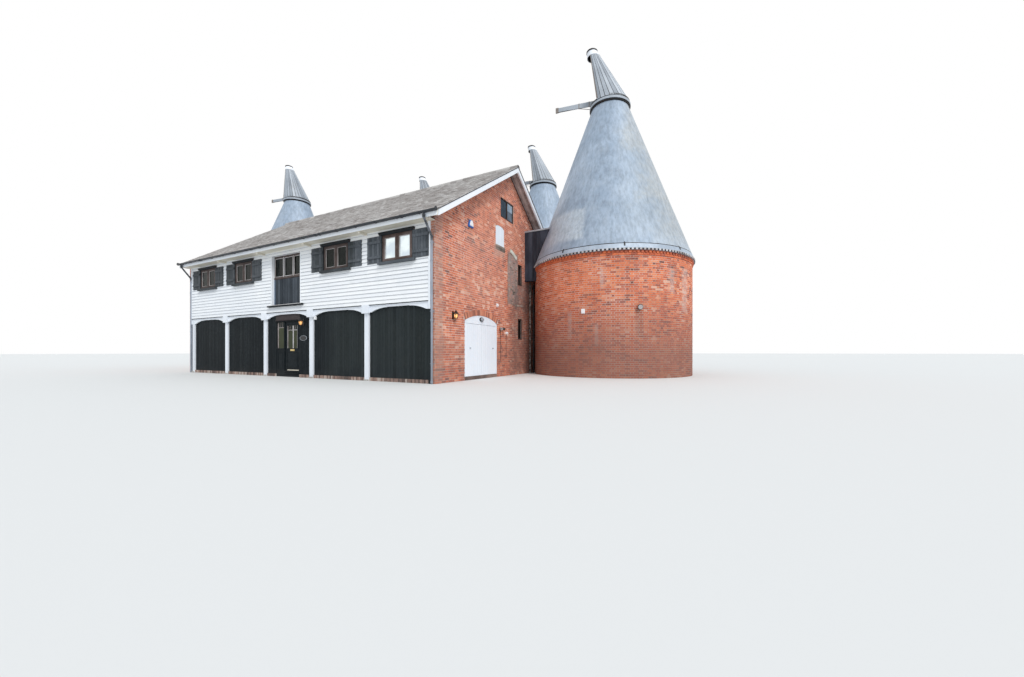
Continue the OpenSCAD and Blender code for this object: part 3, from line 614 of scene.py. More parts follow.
BLACK_BOARD = Finish(
    "black_board", shades((0.013, 0.017, 0.020), (0.020, 0.026, 0.030), (0.028, 0.035, 0.040)), rough=0.55,
    patch=0.5, grain=(110.0, 110.0, 8.0), grain_tint=0.3, relief=0.002, dirt=(0.055, 0.056, 0.055),
    dirt_amount=0.2, foot=0.5, foot_amount=0.35, shine=0.07,
    zones=(Zone((-8.0, -6.0, -0.5), (1.9, -3.0, 2.8), (0.004, 0.007, 0.009), 0.75, 0.7),
           Zone((2.4, -6.0, 0.2), (7.3, -3.0, 2.4), (0.036, 0.044, 0.042), 0.5, 0.5)),
)
SHUTTER = Finish(
    "shutter_board", shades((0.050, 0.058, 0.067), (0.090, 0.104, 0.120), (0.15, 0.165, 0.188)), rough=0.6,
    patch=0.5, grain=(120.0, 120.0, 10.0), grain_tint=0.4, relief=0.003, dirt=(0.05, 0.052, 0.056),
    dirt_amount=0.32, shine=0.2,
    zones=(Zone((-8.0, -6.0, 3.0), (3.9, -4.0, 6.0), (0.026, 0.033, 0.034), 0.55, 0.15),),
)
HATCH_BOARD = replace(
    SHUTTER, name="hatch_board",
    tones=shades((0.022, 0.030, 0.038), (0.044, 0.054, 0.067), (0.085, 0.10, 0.12)),
    dirt=(0.10, 0.105, 0.11), dirt_amount=0.25, shine=0.1, zones=(),
)
TARRED = Finish(
    "tarred_board", shades((0.012, 0.016, 0.027), (0.022, 0.029, 0.045), (0.05, 0.06, 0.085)), rough=0.5,
    patch=0.8, streak=0.25, streak_colour=(0.13, 0.15, 0.19), grain=(60.0, 60.0, 8.0), grain_tint=0.3,
    relief=0.003, dirt=(0.09, 0.095, 0.11), dirt_amount=0.3, shine=0.3,
)
BROWN_WOOD = Finish(
    "brown_wood", shades((0.040, 0.026, 0.022), (0.098, 0.065, 0.057), (0.19, 0.145, 0.135)), rough=0.55,
    patch=0.7, patch_size=0.6, grain=(90.0, 90.0, 14.0), grain_tint=0.4, relief=0.0015,
    dirt=(0.22, 0.19, 0.18), dirt_amount=0.25, shine=0.2,
    zones=(Zone((-8.0, -6.0, 3.0), (3.9, -4.0, 6.0), (0.045, 0.035, 0.033), 0.6, 0.15),),
)
HEADER_WOOD = Finish(
    "header_wood", shades((0.032, 0.025, 0.025), (0.050, 0.040, 0.041), (0.08, 0.066, 0.066)), rough=0.65,
    grain=(9.0, 70.0, 70.0), grain_tint=0.35, relief=0.002, dirt=(0.09, 0.08, 0.078), dirt_amount=0.3,
    shine=0.1,
)
STEP_WOOD = Finish(
    "step_wood", shades((0.42, 0.37, 0.30), (0.56, 0.51, 0.42), (0.68, 0.63, 0.54)),
    grain=(8.0, 70.0, 70.0), grain_tint=0.3, relief=0.002, dirt=(0.20, 0.17, 0.13), dirt_amount=0.5,
)
# Toned dark grey-brown: partly the boards' own brown, partly painted shade under the verges.
SOFFIT_BOARD = Finish(
    "soffit_board", shades((0.25, 0.205, 0.19), (0.45, 0.375, 0.355), (0.66, 0.58, 0.555)), rough=0.8,
    patch=0.7, patch_size=0.3, grain=(50.0, 12.0, 12.0), grain_tint=0.45, relief=0.003,
    dirt=(0.14, 0.11, 0.10), dirt_amount=0.5,
)
FLOORING = Finish(
    "floor_boards", shades((0.20, 0.13, 0.08), (0.28, 0.19, 0.12), (0.36, 0.26, 0.17)), rough=0.6,
    grain=(6.0, 60.0, 60.0), grain_tint=0.35, relief=0.002,
)
BEAD = Finish(
    "glazing_bead", shades((0.24, 0.20, 0.19), (0.42, 0.38, 0.37), (0.62, 0.61, 0.62)), rough=0.5,
    patch=0.8, patch_size=0.5, grain=90.0, grain_tint=0.2, relief=0.0006,
)
PIPE_PAINT = Finish(
    "pipe_paint", shades((0.20, 0.225, 0.26), (0.31, 0.345, 0.41), (0.42, 0.46, 0.53)), rough=0.4,
    patch=0.6, grain=(60.0, 60.0, 8.0), grain_tint=0.15, relief=0.0005, dirt=(0.13, 0.135, 0.14),
    dirt_amount=0.35, foot=1.2, foot_amount=0.4,
    zones=(Zone((-9.0, -6.0, 4.34), (9.0, 6.0, 6.0), (0.022, 0.026, 0.033), 1.0, 0.03),),
)
PIPE_GREY = Finish(
    "pipe_grey", shades((0.07, 0.06, 0.055), (0.21, 0.185, 0.165), (0.50, 0.46, 0.42)),
    patch=1.6, patch_size=0.10, grain=(60.0, 60.0, 10.0), grain_tint=0.3, relief=0.001,
    dirt=(0.10, 0.07, 0.055), dirt_amount=0.5,
)
GUTTER = Finish(
    "gutter_black", shades((0.014, 0.016, 0.021), (0.024, 0.028, 0.035), (0.045, 0.05, 0.06)), rough=0.4,
    grain=30.0, grain_tint=0.1, relief=0.0005, dirt=(0.16, 0.15, 0.14), dirt_amount=0.3,
)
CONE_SHEET = Finish(
    "cone_sheet", (
        (0.0, (0.235, 0.305, 0.40)), (0.35, (0.31, 0.39, 0.495)), (0.65, (0.375, 0.46, 0.57)),
        (1.0, (0.50, 0.58, 0.68)),
    ),
    rough=0.55, patch=0.5, patch_size=1.3, streak=0.6, streak_colour=(0.25, 0.305, 0.375),
    grain=(9.0, 9.0, 0.9), grain_tint=0.34, relief=0.003, dirt=(0.50, 0.55, 0.60), dirt_amount=0.30,
    metallic=0.08, zones=CONE_STAINS_AND_SHADE,
)
CONE_BAND = Finish(
    "cone_band", shades((0.30, 0.36, 0.44), (0.40, 0.47, 0.56), (0.54, 0.61, 0.70)), rough=0.5,
    patch=0.6, patch_size=0.9, streak=0.3, streak_colour=(0.34, 0.40, 0.47), grain=(14.0, 14.0, 4.0),
    grain_tint=0.14, relief=0.003, dirt=(0.26, 0.28, 0.31), dirt_amount=0.35, metallic=0.12,
)
COWL_BOARD = Finish(
    "cowl_board", (
        (0.0, (0.075, 0.075, 0.085)), (0.15, (0.21, 0.235, 0.27)), (0.5, (0.335, 0.375, 0.425)),
        (1.0, (0.52, 0.565, 0.62)),
    ),
    rough=0.6, patch=0.3, grain=(70.0, 70.0, 6.0), grain_tint=0.3, relief=0.003,
    dirt=(0.27, 0.255, 0.24), dirt_amount=0.45,
)
COWL_EDGE = Finish(
    "cowl_edge", shades((0.16, 0.13, 0.115), (0.26, 0.225, 0.20), (0.40, 0.37, 0.34)),
    patch=0.5, grain=(70.0, 70.0, 6.0), grain_tint=0.35, relief=0.003, dirt=(0.15, 0.13, 0.12),
    dirt_amount=0.4,
)
COWL_INSIDE = Finish(
    "cowl_inside", shades((0.035, 0.035, 0.037), (0.06, 0.06, 0.062), (0.10, 0.10, 0.10)), rough=0.8,
    grain=(50.0, 50.0, 8.0), grain_tint=0.4, relief=0.003, dirt_amount=0.4,
)
LEAD = Finish(
    "lead_sheet", shades((0.20, 0.225, 0.26), (0.30, 0.33, 0.37), (0.44, 0.47, 0.51)), rough=0.5,
    patch=0.8, patch_size=0.7, streak=0.4, streak_colour=(0.56, 0.58, 0.61), grain=20.0, grain_tint=0.2,
    relief=0.003, dirt=(0.13, 0.13, 0.14), dirt_amount=0.4, metallic=0.2,
)
MOSSY_LEAD = Finish(
    "mossy_lead", shades((0.36, 0.36, 0.30), (0.60, 0.61, 0.53), (0.78, 0.79, 0.72)), rough=0.85,
    patch=1.0, patch_size=0.3, grain=40.0, grain_tint=0.4, relief=0.006, dirt=(0.20, 0.20, 0.13),
    dirt_amount=0.6,
)
IRON = Finish(
    "black_iron", shades((0.010, 0.010, 0.012), (0.018, 0.018, 0.020), (0.035, 0.035, 0.037)), rough=0.45,
    grain=160.0, grain_tint=0.2, relief=0.001, dirt=(0.09, 0.06, 0.04), dirt_amount=0.3, metallic=0.4,
)
BRASS = Finish(
    "brass", shades((0.55, 0.40, 0.14), (0.68, 0.50, 0.20), (0.80, 0.63, 0.30)), rough=0.28,
    grain=120.0, grain_tint=0.15, relief=0.0003, dirt=(0.20, 0.14, 0.06), dirt_amount=0.3, metallic=1.0,
)
WHITE_PLASTIC = Finish(
    "white_plastic", shades((0.78, 0.79, 0.81), (0.84, 0.85, 0.87), (0.88, 0.89, 0.90)), rough=0.35,
    grain=200.0, grain_tint=0.05, relief=0.0004, dirt=(0.45, 0.43, 0.4), dirt_amount=0.16,
)
BLUE_PLASTIC = Finish(
    "blue_plastic", shades((0.015, 0.09, 0.34), (0.02, 0.13, 0.46), (0.04, 0.18, 0.55)), rough=0.35,
    grain=200.0, grain_tint=0.1, relief=0.0004, dirt_amount=0.15,
)
PANE = Glass()
# The panes below are full mirrors, so each tint paints what the pane shows: pale tints a painted reflection
# of the sky, dark tints the painted dark of the unlit rooms behind.
SKY_PANE = Glass("sky_pane", (0.70, 0.79, 0.86), mirror=1.0)
LOFT_PANES = {"left": Glass("loft_pane_left", (0.10, 0.125, 0.145), mirror=1.0),
              "right": Glass("loft_pane_right", (0.32, 0.34, 0.36), mirror=1.0)}
SLIT_PANE = Glass("slit_pane", (0.10, 0.17, 0.28), mirror=1.0)
DOOR_PANE = Glass("door_pane", (0.036, 0.043, 0.022), mirror=1.0)
HEAD_PANE = Glass("door_pane_head", (0.014, 0.018, 0.016), mirror=1.0)
LAMP = Glow()


# Meshes


CORNER = np.array(
    [[0, 0, 0], [1, 0, 0], [1, 1, 0], [0, 1, 0], [0, 0, 1], [1, 0, 1], [1, 1, 1], [0, 1, 1]], bool
)
SIDES = {
    "foot": (0, 3, 2, 1), "head": (4, 5, 6, 7), "front": (0, 1, 5, 4),
    "right": (1, 2, 6, 5), "back": (2, 3, 7, 6), "left": (3, 0, 4, 7),
}


def cuboids(low: Array | Sequence, high: Array | Sequence) -> Array:
    """Returns boxes by eight corners by three, from rows of low and of high corners."""
    low, high = np.atleast_2d(low), np.atleast_2d(high)
    return np.where(CORNER[None], high[:, None, :], low[:, None, :]).astype(float)


def circle(sides: int) -> Array:
    """Returns the angles of even points round a circle."""
    return np.linspace(0, 2 * math.pi, sides, endpoint=False)


class Face:
    """A face to lay things on: u runs along it, w up it, and d into it."""

    def place(self, points: Array) -> Array:
        """Turns (u, d, w) points into places in the frame."""
        raise NotImplementedError

    def spot(self, u: float, d: float, w: float) -> Array:
        """Returns the place of one (u, d, w) point."""
        return self.place(np.array([u, d, w]))

    def rings(self, outline: Iterable[Span], steps: Iterable[Span], middle: Span,
              pull: Span = (0.0, 0.0)) -> Array:
        """Gives the rings of a raised plate.

        Args:
            outline: Its (u, w) points about its middle.
            steps: Scale and stand-out of each ring.
            middle: Its middle (u, w) on the face.
            pull: How far the middle moves as the scale goes from one to nought.

        Returns:
            Rings by points by three.
        """
        (u0, w0), (pull_u, pull_w) = middle, pull
        return self.place(np.array([
            [(u0 + pull_u * (1 - k) + k * u, -out, w0 + pull_w * (1 - k) + k * w) for u, w in outline]
            for k, out in steps
        ]))


@dataclass(frozen=True)
class Plane(Face):
    """A flat face."""

    origin: Point
    along: Point
    up: Point = UP

    def place(self, points: Array) -> Array:
        """Turns (u, d, w) points into places in the frame."""
        along, up = np.array(self.along), np.array(self.up)
        return np.array(self.origin) + points @ np.array([along, np.cross(up, along), up])


@dataclass(frozen=True)
class Drum(Face):
    """An upright round face, on which u runs round it."""

    centre: tuple[float, float]
    radius: float

    @property
    def around(self) -> float:
        """Length once round it."""
        return 2 * math.pi * self.radius

    def place(self, points: Array) -> Array:
        """Turns (u, d, w) points into places in the frame.

        Args:
            points: The points, three numbers each.

        Returns:
            The places, three numbers each.
        """
        angle, reach = points[..., 0] / self.radius, self.radius - points[..., 1]
        x, y = self.centre
        return np.stack([x + reach * np.cos(angle), y + reach * np.sin(angle), points[..., 2]], axis=-1)


def stand(name: str, data: bpy.types.ID) -> bpy.types.Object:
    """Puts an object into the scene.

    Args:
        name: Its name.
        data: Its mesh, lamp or camera.

    Returns:
        The object.
    """
    made = bpy.data.objects.new(name, data)
    bpy.context.scene.collection.objects.link(made)
    return made


def smooth(data: bpy.types.Mesh, angle: float) -> None:
    """Shades a mesh smooth, with sharp edges over an angle in degrees."""
    data.polygons.foreach_set("use_smooth", [True] * len(data.polygons))
    data.set_sharp_from_angle(angle=math.radians(angle))


def bevel(piece: bpy.types.Object, width: float) -> None:
    """Rounds the edges of a piece.

    Args:
        piece: The piece.
        width: Width of the rounding.
    """
    edge = piece.modifiers.new("edges", "BEVEL")
    edge.width = width
    edge.segments = 2
    edge.limit_method = "ANGLE"
    edge.angle_limit = math.radians(40)


class Form:
    """A mesh under construction, made of blocks, lofts and turned shapes."""

    def __init__(self, name: str) -> None:
        """Starts an empty mesh.

        Args:
            name: The name that the finished piece gets.
        """
        self.name = name
        self.points: list[Array] = []
        self.faces: list[list[int]] = []
        self.tones: list[float] = []
        self.count = 0

    def mesh(self, points: Array, faces: Iterable[Sequence[int]], tone: float = 0.5) -> None:
        """Adds loose faces in one tone.

        Args:
            points: Their points.
            faces: Indices of each face's points.
            tone: Their tone.
        """
        faces = [[self.count + int(i) for i in f] for f in faces]
        self.points.append(np.asarray(points, float).reshape(-1, 3))
        self.faces += faces
        self.tones += [tone] * len(faces)
        self.count += len(self.points[-1])

    def blocks(self, corners: Array, tone: float | Array = 0.5, skip: Sequence[str] = (),
               foot: float | None = None) -> None:
        """Adds many six-sided blocks.

        Args:
            corners: Blocks by eight corners by three.
            tone: One tone, or one for each block.
            skip: Names of sides that nobody can see.
            foot: Tone of their undersides, where that differs.
        """
        sides = np.array([f for n, f in SIDES.items() if n not in skip])
        number = len(corners)
        tones = np.repeat(np.broadcast_to(tone, number), len(sides))
        if foot is not None:
            tones[::len(sides)] = foot
        start = self.count + 8 * np.arange(number)
        self.points.append(corners.reshape(-1, 3))
        self.faces += (start[:, None, None] + sides[None]).reshape(-1, 4).tolist()
        self.tones += tones.tolist()
        self.count += 8 * number

    def box(self, low: Point, high: Point, tone: float = 0.5) -> None:
        """Adds one box by its low and high corners."""
        self.blocks(cuboids(low, high), tone)

    def on(self, face: Face, low: Sequence, high: Sequence, tone: float = 0.5) -> "Form":
        """Adds blocks on a face by their low and high (u, d, w) corners, and returns the form."""
        self.blocks(face.place(cuboids(low, high)), tone)
        return self

    def bars(self, face: Face, span: Span, height: Span, width: float, out: float, back: float,
             tone: float = 0.5) -> None:
        """Adds the two stiles and two rails of a frame on a face.

        Args:
            face: The face that it lies on.
            span: Both ends of the frame along the face.
            height: Its foot and its head.
            width: Width of its members.
            out: How far it stands out.
            back: How far it reaches in.
            tone: Its tone.
        """
        (a, b), (low, high) = span, height
        self.on(face, [[a, -out, low], [b - width, -out, low], [a + width, -out, low],
                       [a + width, -out, high - width]],
                [[a + width, back, high], [b, back, high], [b - width, back, low + width],
                 [b - width, back, high]], tone)

    def boards(self, face: Face, span: Span, height: Span, width: float, out: float, rng: Random,
               gap: float = 0.004, ceiling: Callable[[Array], Array] | None = None,
               ground: Callable[[Array], Array] | None = None, back: float = 0.002) -> None:
        """Adds upright boards side by side.

        Args:
            face: The face that they lie on.
            span: Both ends of the boarding along the face.
            height: Its foot and its head.
            width: Width aimed for, each board with its gap.
            out: How far they stand out.
            rng: Source of their small differences.
            gap: Gap between two boards.
            ceiling: Greatest height at a place along the face.
            ground: Least height at a place along the face.
            back: How far they reach in.
        """
        count = max(1, round((span[1] - span[0]) / width))
        edges = np.linspace(*span, count + 1)
        strips = level(edges[:-1] + gap / 2, edges[1:] - gap / 2, *height, rng.random(count))
        strips = cut(strips, (), ceiling, ground)
        stand_out = out + rng.uniform(-0.0012, 0.0012, len(strips))
        self.blocks(laid(strips, face, stand_out, back=back), strips[:, 7], skip=("back",))

    def loft(self, rings: Array, tone: float = 0.5, caps: bool = True) -> "Form":
        """Adds a skin over closed rings, each ring turning left as seen from its next one.

        Args:
            rings: Rings by points by three.
            tone: The skin's tone.
            caps: Whether the ends are closed.

        Returns:
            The form.
        """
        rows, number = rings.shape[:2]
        i = np.arange(number)
        j = (i + 1) % number
        faces = [
            quad for r in range(rows - 1)
            for quad in zip(r * number + i, r * number + j, (r + 1) * number + j, (r + 1) * number + i)
        ]
        if caps:
            faces += [tuple(range(number))[::-1], tuple((rows - 1) * number + i)]
        self.mesh(rings, faces, tone)
        return self

    def turned(self, profile: Iterable[Span], centre: Point | Array, sides: int = 24,
               axis: Point = UP, tone: float = 0.5, caps: bool = True) -> "Form":
        """Adds a shape turned on a lathe.

        Args:
            profile: Radius and height pairs, from the foot up.
            centre: The foot of the axis.
            sides: Number of sides round it.
            axis: Direction of the axis.
            tone: The shape's tone.
            caps: Whether the ends are closed.

        Returns:
            The form.
        """
        way = np.array(axis, float) / np.linalg.norm(axis)
        side = np.cross(way, ACROSS if abs(way[1]) < 0.9 else ALONG)
        side /= np.linalg.norm(side)
        angle = circle(sides)[:, None]
        ring = np.cos(angle) * side + np.sin(angle) * np.cross(way, side)
        least = 1e-4
        return self.loft(np.array([np.array(centre) + h * way + max(r, least) * ring for r, h in profile]),
                         tone, caps)

    def tube(self, path: Sequence[Point | Array], radius: float, sides: int = 12, tone: float = 0.5) -> None:
        """Adds a round tube along a path, which nowhere runs the way of its seed axis.

        Args:
            path: Points along its middle.
            radius: Its radius.
            sides: Number of sides round it.
            tone: Its tone.
        """
        path = np.array(path, float)
        ways = np.gradient(path, axis=0)
        ways /= np.linalg.norm(ways, axis=1)[:, None]
        seed = np.array(ALONG if abs(ways[0][0]) < 0.9 else ACROSS)
        angle = circle(sides)[:, None]
        rings = []
        for at, way in zip(path, ways):
            side = seed - way * (seed @ way)
            side /= np.linalg.norm(side)
            rings.append(at + radius * (np.cos(angle) * side + np.sin(angle) * np.cross(way, side)))
        self.loft(np.array(rings), tone)

    def build(self, finish: Surface, slot: str, width: float = 0.0, body: str = BUILDING,
              rounded: bool = False, replaces: Sequence[str] = ()) -> None:
        """Makes the object and hangs it on its body.

        Args:
            finish: The finish of the piece.
            slot: Names a material slot for the piece; not used.
            width: Width of its bevelled edges.
            body: Body that the piece moves with.
            rounded: Whether round faces are shaded smooth.
            replaces: CAD nodes that the piece stands for.
        """
        data = bpy.data.meshes.new(self.name)
        data.from_pydata(np.concatenate(self.points).tolist(), [], self.faces)
        data.attributes.new("tone", "FLOAT", "FACE").data.foreach_set("value", self.tones)
        if rounded:
            smooth(data, 38)
        data.materials.append(finish.material())
        piece = stand(self.name, data)
        if width:
            bevel(piece, width)
        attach(piece, body)
        if replaces:
            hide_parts(*replaces)
        log.info("%s: %d faces on %s", self.name, len(self.faces), body)


# Laying


SHORTEST = 0.012
SAME = 1e-6


@dataclass(frozen=True)
class Hole:
    """An opening in a laid face: its sides, its foot, and a top that may be an arc."""

    u0: float
    u1: float
    w0: float
    w1: float
    radius: float = 0.0

    def top(self, u: Array) -> Array:
        """Gives the opening's top, w1 being the crown.

        Args:
            u: Places along it.

        Returns:
            The height of its top at each.
        """
        if not self.radius:
            return np.full_like(u, self.w1)
        away = np.clip(u - (self.u0 + self.u1) / 2, -self.radius, self.radius)
        return self.w1 - self.radius + np.sqrt(self.radius ** 2 - away ** 2)


def level(start: Array, end: Array, foot: float | Array, head: float | Array, tone: Array) -> Array:
    """Returns level strips: rows of start, end, foot twice, head twice, foot before any cut, tone."""
    return np.stack(np.broadcast_arrays(start, end, foot, foot, head, head, foot, tone), 1)


def cut(strips: Array, holes: Iterable[Hole], ceiling: Callable[[Array], Array] | None = None,
        ground: Callable[[Array], Array] | None = None) -> Array:
    """Cuts laid strips round openings and under a slope.

    Args:
        strips: Rows as level gives them.
        holes: The openings.
        ceiling: Greatest height at a place along the face.
        ground: Least height at a place along the face.

    Returns:
        The strips that are left.
    """
    for hole in holes:
        for edge in (hole.u0, hole.u1):
            across = (strips[:, 0] < edge - SAME) & (strips[:, 1] > edge + SAME)
            left, right = strips[across].copy(), strips[across].copy()
            share = (edge - left[:, 0]) / (left[:, 1] - left[:, 0])
            for column in (2, 4):
                at = left[:, column] + share * (left[:, column + 1] - left[:, column])
                left[:, column + 1] = right[:, column] = at
            left[:, 1] = right[:, 0] = edge
            strips = np.vstack([strips[~across], left, right])
        inside = (strips[:, 0] > hole.u0 - SAME) & (strips[:, 1] < hole.u1 + SAME)
        below, above = strips[inside].copy(), strips[inside].copy()
        below[:, 4:6] = np.minimum(below[:, 4:6], hole.w0)
        above[:, 2:4] = np.maximum(above[:, 2:4], hole.top(above[:, 0:2]))
        strips = np.vstack([strips[~inside], below, above])
        strips = strips[(strips[:, 4:6] - strips[:, 2:4]).max(1) > SHORTEST]
    if ceiling is not None:
        strips[:, 4:6] = np.minimum(strips[:, 4:6], ceiling(strips[:, 0:2]))
    if ground is not None:
        strips[:, 2:4] = np.maximum(strips[:, 2:4], ground(strips[:, 0:2]))
    tall = (strips[:, 4:6] - strips[:, 2:4]).max(1) > SHORTEST
    strips = strips[tall & (strips[:, 1] - strips[:, 0] > SHORTEST)]
    strips[:, 4:6] = np.maximum(strips[:, 4:6], strips[:, 2:4] + 0.001)
    return strips


def laid(strips: Array, face: Face, foot_out: float | Array, head_out: float | None = None,
         rise: float = 1.0, back: float = 0.004) -> Array:
    """Turns strips into blocks on a face.

    Args:
        strips: Rows as level gives them.
        face: The face that they lie on.
        foot_out: How far they stand out at their own foot.
        head_out: How far they stand out one rise further up, or None for the same.
        rise: Height over which the strip thins from foot to head.
        back: How far they reach into the face.

    Returns:
        Blocks by eight corners by three.
    """
    u = strips[:, [0, 1, 1, 0, 0, 1, 1, 0]]
    w = strips[:, [2, 3, 3, 2, 4, 5, 5, 4]]
    foot_out = np.broadcast_to(foot_out, len(strips))[:, None]
    head_out = foot_out if head_out is None else head_out
    share = np.clip((w - strips[:, 6:7]) / rise, 0.0, 1.0)
    out = -(foot_out + (head_out - foot_out) * share)
    out[:, [2, 3, 6, 7]] = back
    return face.place(np.stack([u, out, w], axis=-1))


def arched(face: Face, middle: Span, radii: Span, low: Array, high: Array, front: float | Array,
           back: float) -> Array:
    """Sets blocks side by side round an arch.

    Args:
        face: The face that it stands on.
        middle: Centre of the arch's circle on the face.
        radii: Its inner and outer radius.
        low: Angle from upright at which each block starts.
        high: Angle at which each one ends.
        front: Place of their fronts along d.
        back: Place of their backs along d.

    Returns:
        Blocks by eight corners by three.
    """
    corners = np.zeros((len(low), 8, 3))
    for k, (right, deep, up) in enumerate(CORNER.astype(int)):
        angle = (low, high)[right]
        reach = radii[up]
        corners[:, k, 0] = middle[0] + reach * np.sin(angle)
        corners[:, k, 1] = (front, back)[deep]
        corners[:, k, 2] = middle[1] + reach * np.cos(angle)
    return face.place(corners)


class Bond(Enum):
    """Ways to lay bricks: lengths of the units in one repeat, in metres with their joints."""

    FLEMISH = (0.225, 0.1125)
    STRETCHER = (0.225,)


@dataclass
class Brickwork:
    """Bricks laid in level courses on a face."""

    name: str
    face: Face
    length: float
    height: float
    seed: int
    finish: Finish = BRICK
    bond: Bond = Bond.FLEMISH
    course: float = 0.0775
    joint: float = 0.014
    out: float = 0.006
    holes: tuple[Hole, ...] = ()
    ceiling: Callable[[Array], Array] | None = None

    def strips(self) -> Array:
        """Lays the courses.

        Returns:
            One row for each brick, before any cut.
        """
        rng = np.random.default_rng(self.seed)
        ring = isinstance(self.face, Drum)
        unit = self.bond.value
        repeat = sum(unit)
        if ring:
            repeat = self.length / round(self.length / repeat)
        scale = repeat / sum(unit)
        repeats = self.length / repeat
        number = np.arange(round(repeats)) if ring else np.arange(-1, int(repeats) + 2)
        rows = []
        for k in range(math.ceil(self.height / self.course)):
            shift = repeat / 2 * (k % 2) + (0 if ring else rng.uniform(-0.01, 0.01))
            foot = k * self.course + self.joint / 2
            for start, size in zip(np.cumsum([0.0, *unit[:-1]]) * scale, unit):
                low = shift + repeat * number + start
                high = low + size * scale - self.joint
                if not ring:
                    low, high = np.clip(low, 0, self.length), np.clip(high, 0, self.length)
                rows.append(level(low, high, foot, foot + self.course - self.joint, rng.random(len(low))))
        return np.vstack(rows)

    def build(self) -> None:
        """Cuts the bricks round the openings and makes the piece."""
        strips = cut(self.strips(), self.holes, self.ceiling)
        rng = np.random.default_rng(self.seed + 1)
        tone = np.clip(strips[:, 7] * 0.86 + 0.10 + rng.normal(0, 0.05, len(strips)), 0, 1)
        out = self.out + rng.uniform(-0.0018, 0.0018, len(strips))
        form = Form(self.name)
        form.blocks(laid(strips, self.face, out), tone, skip=("back",))
        form.build(self.finish, "brick")


# The building's own sizes


PITCH = math.radians(33.5)


@dataclass(frozen=True)
class Barn:
    """Sizes of the barn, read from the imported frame."""

    front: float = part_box("front_upper_wall")[0].y
    rear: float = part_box("rear_wall")[1].y
    right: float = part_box("gable_wall_right_upper")[1].x
    left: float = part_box("gable_wall_left")[0].x
    front_left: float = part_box("front_upper_wall")[0].x
    front_right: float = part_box("front_upper_wall")[1].x
    verge_left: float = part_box("roof_front")[0].x
    verge_right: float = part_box("roof_front")[1].x
    edge: float = -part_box("roof_front")[0].y
    edge_under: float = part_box("roof_front")[0].z
    ridge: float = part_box("roof_front")[1].z
    rise: float = math.tan(PITCH)
    wall_t: float = 0.2

    @property
    def eaves(self) -> float:
        """Height of the roof's underside over the walls' outer faces."""
        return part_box("front_upper_wall")[1].z - self.wall_t * self.rise

    def under(self, y: float | Array) -> float | Array:
        """Gives the roof's underside over a place across the barn."""
        return self.eaves + (self.rear - np.abs(y)) * self.rise


BARN = Barn()
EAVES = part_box("kiln_1_wall")[1].z
CURB_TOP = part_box("kiln_1_roof")[1].z
CONE_TOP = CURB_TOP - 0.10
CONE_FOOT = EAVES + 0.06
CONE_R = (3.47, 0.80)
CONE_LEAN = (CONE_R[0] - CONE_R[1]) / (CONE_TOP - CONE_FOOT)
KILNS = range(1, 5)
BAY = 2.9
BAYS = 5
ENTRY_BAY = 2
FIRST_POST = -7.25
POST_HALF = 0.1
MIDDLE_SHIFT = -0.06
POSTS = tuple(FIRST_POST + BAY * i for i in range(BAYS))
WINDOWS = tuple(FIRST_POST + BAY * (i + 0.5) + MIDDLE_SHIFT for i in range(BAYS) if i != ENTRY_BAY)
LOADING = MIDDLE_SHIFT
LOADING_W = 1.88
LOADING_FOOT = 2.80
WINDOW_W = 1.29
WINDOW_FOOT = 3.90
WINDOW_H = 0.89
WINDOW_HEAD = WINDOW_FOOT + WINDOW_H
BOARDING_FOOT = 2.55


def front_plane(y: float) -> Plane:
    """Returns a face like the front at a place across the barn, with u as x."""
    return Plane((0.0, y, 0.0), ALONG)


def gable_plane(out: float = 0.0) -> Plane:
    """Returns a face so far out of the right gable, with u from the front corner."""
    return Plane((BARN.right + out, BARN.front, 0.0), ACROSS)


def kiln(number: int, out: float = 0.0) -> Drum:
    """Returns one kiln's wall as a round face, or a face so far out of it."""
    low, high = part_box(f"kiln_{number}_wall")
    return Drum(((low.x + high.x) / 2, (low.y + high.y) / 2), (high.x - low.x) / 2 + out)


def bay_spans() -> list[Span]:
    """Gives both ends of each stretch between the posts, beside the entry too.

    Returns:
        The stretches from left to right.
    """
    spans = [(post + POST_HALF, post + BAY - POST_HALF) for post in POSTS[:-1]]
    spans.append((POSTS[-1] + POST_HALF, BARN.front_right))
    (start, end), entry = spans[ENTRY_BAY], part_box("entry_frame")
    spans[ENTRY_BAY:ENTRY_BAY + 1] = [(start, entry[0].x), (entry[1].x, end)]
    return spans


FRONT_FACE = front_plane(BARN.front)
REAR_FACE = Plane((0.0, BARN.rear, 0.0), (-1.0, 0.0, 0.0))
GABLE_FACE = gable_plane()


# Studio


